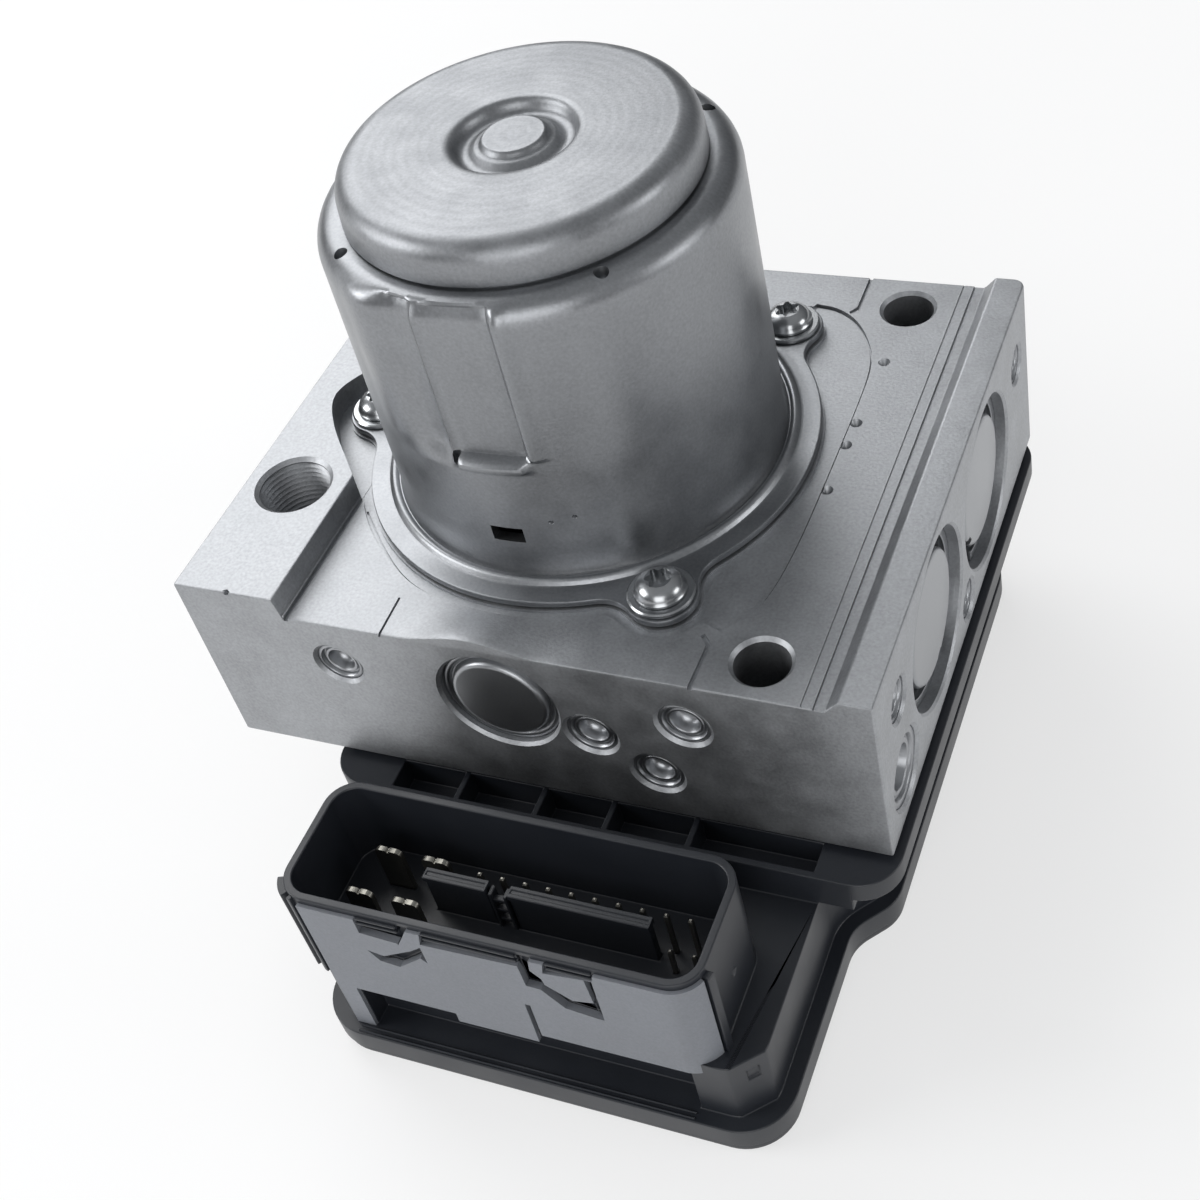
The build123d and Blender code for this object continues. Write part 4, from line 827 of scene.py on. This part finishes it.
# a plug's face from its rim to its middle, as (inset, depth) for a radius of PLUG_MODEL
PLUG_MODEL = 4.1
PLUG_FACE = ((0, 4.9), (0, 0.75), (0.12, 0.6), (0.6, 0.55), (0.75, 0.7), (0.85, 1.25), (1.05, 1.35),
             (1.2, 1.0), (1.35, 0.9), (1.65, 0.9), (1.8, 1.05), (1.9, 2.2), (2.2, 2.75), (2.8, 3.1))


class BRAKEMODULE_OT_bore_plugs(bpy.types.Operator):
    """Build the plugs pressed into the block's drillings"""
    bl_idname = "brakemodule.bore_plugs"
    bl_label = "Bore Plugs"

    def execute(self, context):
        plugs = []
        for at, axis, radius, *bore in PLUGS:
            scale = radius / PLUG_MODEL
            face = [(radius - inset * scale, -depth) for inset, depth in PLUG_FACE] + [(0.3, -3.2)]
            plugs.append(placed(smoothed(turned("Bore plug", face, 48), 50), at, axis))
        show(joined("cup_plugs", plugs), finishes()["plug"], "aluminium_plugs", "bore_plugs")
        return {"FINISHED"}


class BRAKEMODULE_OT_pump_caps(bpy.types.Operator):
    """Build the caps that close the two pump bores"""
    bl_idname = "brakemodule.pump_caps"
    bl_label = "Pump Caps"

    def execute(self, context):
        caps = []
        for face, axis in PUMP_ENDS:
            cap = turned("Pump cap", [
                (PUMP_BORE, PUMP_SHOULDER - abs(face)), (PUMP_BORE, -1.5), (9.45, -1.25), (9.0, -1.15),
                (8.55, -1.3), (8.3, -1.75), (8.1, -1.75), (7.9, -1.2), (7.75, -0.75), (7.45, -0.5),
                (7.0, -0.42), (0.5, -0.42)])
            caps.append(placed(smoothed(cap, 50), (0, face, PUMP_AXIS), axis))
        show(joined("pump_bore_caps", caps), finishes()["plug"], "aluminium_plugs", "pump_caps")
        return {"FINISHED"}


class BRAKEMODULE_OT_accumulator_caps(bpy.types.Operator):
    """Build the two accumulator caps with their retaining rings"""
    bl_idname = "brakemodule.accumulator_caps"
    bl_label = "Accumulator Caps"

    def execute(self, context):
        caps = []
        for number, (y, z) in enumerate(ACCUMULATORS):
            cap = turned("Accumulator cap", [
                (14.25, -5.2), (14.25, -4.2), (11.2, -4.2), (10.9, -4.0), (10.75, -1.6), (10.4, -1.15),
                (9.9, -1.0), (0.5, -1.0)])
            ring = turned("Retaining ring", [
                (12.7, -3.2), (14.2, -3.2), (14.2, -2.1), (12.7, -2.1), (12.7, -3.2)])
            # the ring's opening, and the square notch in the cap beside it
            cut(ring, [box("gap cutter", (-1.6, 11.0, -4.0), (1.6, 16.0, 0.0))])
            rounded(ring, 0.12, 50, 1)
            cut(cap, [box("notch cutter", (-0.9, 9.6, -3.4), (0.9, 11.4, 0.0))])
            for piece, spin in ((cap, 120 + 70 * number), (ring, 150 + 60 * number)):
                caps.append(placed(smoothed(piece, 50), (RIGHT, y, z), RIGHTWARD, spin))
        show(joined("ringed_caps", caps), finishes()["plug"], "aluminium_plugs", "accumulator_caps")
        return {"FINISHED"}


# ---------------------------------------------------------------- control unit

SOCKET_FRONT = seat("ecu_housing", 0, 1) + 2.5
SOCKET_RIM = seat("ecu_housing", 1, 2)
SOCKET_FLOOR = 24.1
SOCKET_LEFT, SOCKET_RIGHT, SOCKET_CORNER = -23.6, 43.0, 5.0
LEFT_CORNER = (SOCKET_LEFT + SOCKET_CORNER, SOCKET_FRONT + SOCKET_CORNER)
RIGHT_CORNER = (SOCKET_RIGHT - SOCKET_CORNER, SOCKET_FRONT + SOCKET_CORNER)
# inner radius of the panel and the rails, a little inside the socket's own corners
BACKING = SOCKET_CORNER - 0.6
PANEL_THICKNESS = 0.55
LEDGE = 6.1
PANEL_LEFT, PANEL_TOP = -19.4, 38.2
# opening under the panel, grooves round the two latches, and ribbed strips under the rim, all as (x, z)
PANEL_OPENING = [(-16.1, 5.0), (50.0, 5.0), (50.0, 17.2), (14.6, 17.2), (14.6, 15.0), (1.1, 15.0),
                 (1.1, 17.2), (-16.1, 17.2)]
LATCH_GROOVES = (
    [(-9.9, 30.2), (-8.4, 27.9), (-5.2, 27.5), (-0.6, 31.6), (0.3, 30.6), (0.2, 34.7), (-2.0, 32.9),
     (-7.3, 29.6)],
    [(-2.8, 38.3), (-3.4, 36.0), (-3.6, 33.9), (-2.2, 36.4), (-1.2, 38.3)],
    [(16.0, 38.3), (16.2, 31.2), (18.5, 31.1), (21.5, 27.4), (26.2, 26.7), (27.4, 26.6), (27.5, 36.8),
     (26.3, 36.7), (26.6, 30.9), (23.2, 30.1), (19.5, 32.8), (19.3, 34.2), (17.9, 35.8), (18.2, 38.3)],
)
PANEL_SLIT = [(14.4, 14.0), (15.3, 14.0), (15.5, 25.6), (14.6, 25.6)]
RIBBED_STRIPS = (
    [(-9.8, 34.8), (-3.5, 34.3), (-2.8, 36.4), (-2.8, 39.5), (-9.8, 39.5)],
    [(0.5, 35.6), (16.5, 36.2), (16.5, 39.5), (1.3, 39.5)],
    [(19.9, 35.9), (27.6, 36.9), (28.2, 39.5), (20.7, 39.5)],
)
STRIP_RIBS = ((-9.6, -2.9), (1.2, 16.0), (20.6, 27.6))
PARTITIONS = ((-5.8, 4.7), (8.2, 30.8))
PARTITION_Y = FRONT - 22.8
PARTITION_TOP = 33.0
BLADES = ((-13.2, FRONT - 20.5), (-5.1, FRONT - 20.5), (-14.3, FRONT - 28.3), (-6.5, FRONT - 28.3))


def sunk(outline, depth):
    """Cutting tool for the socket's front, over an outline of (x, z) points, down to a depth behind it."""
    return placed(prism("panel cutter", outline, -depth, 3.0), (0, SOCKET_FRONT, 0), FORWARD)


class BRAKEMODULE_OT_control_unit(bpy.types.Operator):
    """Build the moulded housing and cover of the control unit"""
    bl_idname = "brakemodule.control_unit"
    bl_label = "Control Unit"

    def execute(self, context):
        housing = copy_of("ecu_housing", "unit_shell")
        tools = [sunk(outline, 0.95) for outline in LATCH_GROOVES]
        # the small recess in the corner block right of the socket, and the dimple in the socket's right wall
        recess = box("recess cutter", (-1.0, -1.3, -0.5), (1.0, 1.3, 2.0))
        tools += [placed(recess, (47.0, -78.7, 15.6), (1, -1, 0)),
                  round_tool([(0.2, -0.5), (1.0, 0.1)], (SOCKET_RIGHT, -70.2, 27.3), RIGHTWARD)]
        cut(housing, tools)
        cover = copy_of("ecu_cover", "unit_floor")
        for moulding, edge, node in ((housing, 0.25, "ecu_housing"), (cover, 0.4, "ecu_cover")):
            smoothed(rounded_moulding(moulding, edge, 35), 35)
            show(moulding, finishes()["plastic"], "housing_plastic", node)
        return {"FINISHED"}


class BRAKEMODULE_OT_front_panel(bpy.types.Operator):
    """Build the eroded panel on the socket's front, with its two latches, in a lighter grey that is a painted
    sheen of the front light
    """
    bl_idname = "brakemodule.front_panel"
    bl_label = "Front Panel"

    def execute(self, context):
        outline = [(PANEL_LEFT, SOCKET_FRONT - PANEL_THICKNESS)]
        outline += arc(RIGHT_CORNER, SOCKET_CORNER + PANEL_THICKNESS, -90, -24, 12)
        outline += arc(RIGHT_CORNER, BACKING, -24, -90, 12) + [(PANEL_LEFT, SOCKET_FRONT + 0.6)]
        panel = prism("panel_face", outline, LEDGE, PANEL_TOP)
        openings = (PANEL_OPENING, PANEL_SLIT, *LATCH_GROOVES, *RIBBED_STRIPS)
        cut(panel, [sunk(opening, 3.0) for opening in openings])
        # the panel's lighter grey is a painted sheen of the front light
        show(smoothed(panel, 35), finishes()["eroded"], "housing_plastic")
        return {"FINISHED"}


class BRAKEMODULE_OT_socket_rails(bpy.types.Operator):
    """Build the socket's coding rails, the ribs of its strips and the heads of its partitions"""
    bl_idname = "brakemodule.socket_rails"
    bl_label = "Socket Rails"

    def execute(self, context):
        rails = []
        for corner, radius, start, end, low, high in (
            (LEFT_CORNER, 6.0, 198, 234, 20.2, 38.8), (LEFT_CORNER, 5.6, 243, 252, 19.7, 39.0),
            (RIGHT_CORNER, 6.0, -20, -6, 19.4, 38.2),
        ):
            outline = arc(corner, radius, start, end, 8) + arc(corner, BACKING, end, start, 8)
            rails.append(prism("rail", outline, low, high))
        bars = [((start, SOCKET_FRONT - 0.45, height), (end, SOCKET_FRONT + 1.0, height + 0.45))
                for start, end in STRIP_RIBS for height in (36.9, 38.0)]
        # two beads along the ledge in front of the socket
        bars += [((LEFT_CORNER[0], SOCKET_FRONT - reach, LEDGE - 0.2),
                  (RIGHT_CORNER[0], SOCKET_FRONT - reach + 0.35, LEDGE + 0.3)) for reach in (2.1, 1.2)]
        rails += [box("bar", *corners) for corners in bars]
        for start, end in PARTITIONS:
            head = box("head", (start, PARTITION_Y - 1.0, PARTITION_TOP - 0.9),
                       (end, PARTITION_Y + 1.0, PARTITION_TOP + 0.2))
            line = box("line cutter", (start + 0.4, PARTITION_Y - 0.3, PARTITION_TOP - 0.2),
                       (end - 0.4, PARTITION_Y + 0.3, PARTITION_TOP + 1))
            rails.append(cut(head, [line]))
        # the ladder between the two partitions: two posts and three rungs
        low, high = PARTITIONS[0][1], PARTITIONS[1][0]
        bars = [((start, PARTITION_Y - 0.9, SOCKET_FLOOR - 0.2), (start + 0.6, PARTITION_Y + 0.9, 32.4))
                for start in (low + 0.2, high - 0.8)]
        bars += [((low + 0.5, PARTITION_Y - 0.7, height), (high - 0.5, PARTITION_Y + 0.3, height + 0.7))
                 for height in (25.6, 28.0, 30.4)]
        rails += [box("bar", *corners) for corners in bars]
        for rail in rails:
            smoothed(rounded(rail, 0.12, 40, 1), 35)
        show(joined("socket_rails", rails), finishes()["plastic"], "housing_plastic")
        return {"FINISHED"}


class BRAKEMODULE_OT_contacts(bpy.types.Operator):
    """Build the connector's blades and signal pins"""
    bl_idname = "brakemodule.contacts"
    bl_label = "Contacts"

    def execute(self, context):
        highest = seat("connector_blades", 1, 2)
        blades = copy_of("connector_blades", "power_blades")
        edit(blades)
        # rounded shoulders, and a nick between the two lobes of each blade
        pick(blades, lambda a, b: min(a.z, b.z) > highest - 0.05 and abs(a.x - b.x) < 0.05, "edges")
        bpy.ops.mesh.bevel(offset=0.9 * MM, segments=4)
        close_edit()
        nick = [(-0.5, 1.0), (-0.15, -0.4), (0.15, -0.4), (0.5, 1.0)]
        cut(blades, [placed(prism("nick cutter", nick, -1, 1), (x, y, highest), FORWARD) for x, y in BLADES])
        pins = copy_of("signal_pins", "pin_rows")
        edit(pins)
        pick(pins, lambda c, normal: normal.z > 0.9 and c.z > highest - 5)
        bpy.ops.mesh.inset(thickness=0.18 * MM, depth=0.25 * MM, use_individual=True)
        close_edit()
        for contacts, node in ((blades, "connector_blades"), (pins, "signal_pins")):
            show(smoothed(contacts, 30), finishes()["tin"], "tinned_contacts", node)
        return {"FINISHED"}


class BRAKEMODULE_OT_inner_finishes(bpy.types.Operator):
    """Give the CAD pieces that keep their shape their finishes"""
    bl_idname = "brakemodule.inner_finishes"
    bl_label = "Inner Finishes"

    def execute(self, context):
        made = finishes()
        groups = {
            "rubber": ["motor_seal", "ecu_seal"],
            "bright": ["ecu_screws"],
            "tin": ["motor_terminals"],
            "board": ["circuit_board"],
            "hard": ["armature_shaft", "eccentric_bearing", "shaft_bearings", "pump_sleeves",
                     "pump_piston_front", "pump_piston_rear", "valve_bodies",
                     *(f"valve_armature_{n}" for n in range(1, 9))],
            "plug": ["accumulator_piston_front", "accumulator_piston_rear"],
            "core": ["armature_core"],
            "winding": ["armature_winding"],
            "copper": ["commutator"],
            "ferrite": ["magnets"],
            "holder": ["brush_holder"],
            "carbon": ["brushes"],
            "spring": ["brush_springs", "pump_spring_front", "pump_spring_rear", "accumulator_spring_front",
                       "accumulator_spring_rear", "valve_springs"],
            "yoke": ["valve_coils"],
        }
        for key, names in groups.items():
            for name in names:
                if name not in nodes:
                    raise RuntimeError(f"the frame has no node {name}")
                nodes[name].data.materials.clear()
                nodes[name].data.materials.append(made[key])
        return {"FINISHED"}


# ---------------------------------------------------------------- stage

# lamps: name, place and size in metres, power in watts
LAMPS = (
    ("Rear softbox", (-0.75, 0.65, 0.95), 1.0, 10.0),
    ("Left softbox", (-0.85, -0.4, 0.5), 0.5, 5.0),
    ("Front softbox", (0.25, -0.95, 0.45), 0.7, 4.0),
    ("Right strip", (0.85, 0.1, 0.35), 0.35, 1.5),
)
# the world is darker at the horizon than overhead, so metal shows some contrast
WORLD_GREYS = ((0.0, "#54565A"), (0.85, "#BCBEC0"))
BACKDROP_SHARE = 0.6
# the camera stands where the photograph was taken: lens in mm, place in metres, turn in degrees
CAMERA_LENS = 54.61777
CAMERA_SHIFT = (-0.0333415, -0.0458883)
CAMERA_PLACE = (0.117712, -0.191355, 0.248667)
CAMERA_TURN = (45.32889537, 10.33730031, 20.81150594)


class BRAKEMODULE_OT_stage(bpy.types.Operator):
    """Set the pale floor, the soft studio light and the camera"""
    bl_idname = "brakemodule.stage"
    bl_label = "Stage"

    def execute(self, context):
        scene = context.scene
        deselect()
        bpy.ops.mesh.primitive_plane_add(size=6, location=(0, 0, -0.05 * MM))
        floor = named("floor")
        paper, tree, shader = plain_material("White paper")
        shader.inputs["Base Color"].default_value = linear("#F6F6F6")
        shader.inputs["Roughness"].default_value = 0.9
        # what sees the floor sees it partly as a white backdrop, and the shadow stays on the rest
        path = add_node(tree, "ShaderNodeLightPath")
        glossy = add_node(tree, "ShaderNodeMath", {0: (path, "Is Camera Ray"), 1: (path, "Is Glossy Ray")},
                          operation="ADD")
        clear = add_node(tree, "ShaderNodeMath", {0: (glossy, "Value"), 1: (path, "Is Transmission Ray")},
                         operation="ADD")
        share = add_node(tree, "ShaderNodeMath", {0: (clear, "Value")}, operation="MULTIPLY")
        share.inputs[1].default_value = BACKDROP_SHARE
        glow = add_node(tree, "ShaderNodeEmission", strength=1.0)
        blend = add_node(tree, "ShaderNodeMixShader",
                         {"Fac": (share, "Value"), 1: (shader, "BSDF"), 2: (glow, "Emission")})
        wire(tree, tree.nodes["Material Output"], {"Surface": (blend, "Shader")})
        floor.data.materials.append(paper)
        for name, at, size, power in LAMPS:
            data = bpy.data.lights.new(name, "AREA")
            data.shape = "SQUARE"
            data.size = size
            data.energy = power
            lamp = bpy.data.objects.new(name, data)
            scene.collection.objects.link(lamp)
            lamp.location = at
            lamp.rotation_euler = (Vector((0, 0, 0.05)) - Vector(at)).to_track_quat("-Z", "Y").to_euler()
        world = bpy.data.worlds.new("Studio")
        scene.world = world
        world.use_nodes = True
        tree = world.node_tree
        background = tree.nodes["Background"]
        place = add_node(tree, "ShaderNodeTexCoord")
        split = add_node(tree, "ShaderNodeSeparateXYZ", {"Vector": (place, "Generated")})
        ramp = add_node(tree, "ShaderNodeValToRGB", {"Fac": (split, "Z")})
        for element, (position, grey) in zip(ramp.color_ramp.elements, WORLD_GREYS):
            element.position = position
            element.color = linear(grey)
        wire(tree, background, {"Color": (ramp, "Color")})
        background.inputs["Strength"].default_value = 0.8
        data = bpy.data.cameras.new("Camera")
        data.lens, data.sensor_width = CAMERA_LENS, 36.0
        data.shift_x, data.shift_y = CAMERA_SHIFT
        data.clip_start = 0.01
        camera = bpy.data.objects.new("Camera", data)
        scene.collection.objects.link(camera)
        camera.location = CAMERA_PLACE
        camera.rotation_euler = Euler([radians(angle) for angle in CAMERA_TURN])
        scene.camera = camera
        scene.view_settings.view_transform = "Standard"
        return {"FINISHED"}


STEPS = (
    BRAKEMODULE_OT_stage,
    BRAKEMODULE_OT_valve_block,
    BRAKEMODULE_OT_motor_can,
    BRAKEMODULE_OT_motor_end_cap,
    BRAKEMODULE_OT_motor_screws,
    BRAKEMODULE_OT_bore_plugs,
    BRAKEMODULE_OT_pump_caps,
    BRAKEMODULE_OT_accumulator_caps,
    BRAKEMODULE_OT_control_unit,
    BRAKEMODULE_OT_front_panel,
    BRAKEMODULE_OT_socket_rails,
    BRAKEMODULE_OT_contacts,
    BRAKEMODULE_OT_inner_finishes,
)


class BRAKEMODULE_PT_sidebar(bpy.types.Panel):
    """Sizes, colours and building steps of the brake module"""
    bl_idname = "BRAKEMODULE_PT_sidebar"
    bl_label = "Brake Module"
    bl_space_type = "VIEW_3D"
    bl_region_type = "UI"
    bl_category = "Brake Module"

    def draw(self, context):
        for name in ("edge_rounding", "thread_pitch", "shoulder_radius", "aluminium", "steel", "plastic"):
            self.layout.prop(context.scene.brake_module, name)
        for step in STEPS:
            self.layout.operator(step.bl_idname)


CLASSES = (BrakeModuleSettings,) + STEPS + (BRAKEMODULE_PT_sidebar,)


def register():
    for entry in CLASSES:
        bpy.utils.register_class(entry)
    bpy.types.Scene.brake_module = bpy.props.PointerProperty(type=BrakeModuleSettings)


def unregister():
    del bpy.types.Scene.brake_module
    for entry in reversed(CLASSES):
        bpy.utils.unregister_class(entry)


def main():
    register()
    for step in STEPS:
        group, name = step.bl_idname.split(".")
        getattr(getattr(bpy.ops, group), name)()


if __name__ == "__main__":
    main()
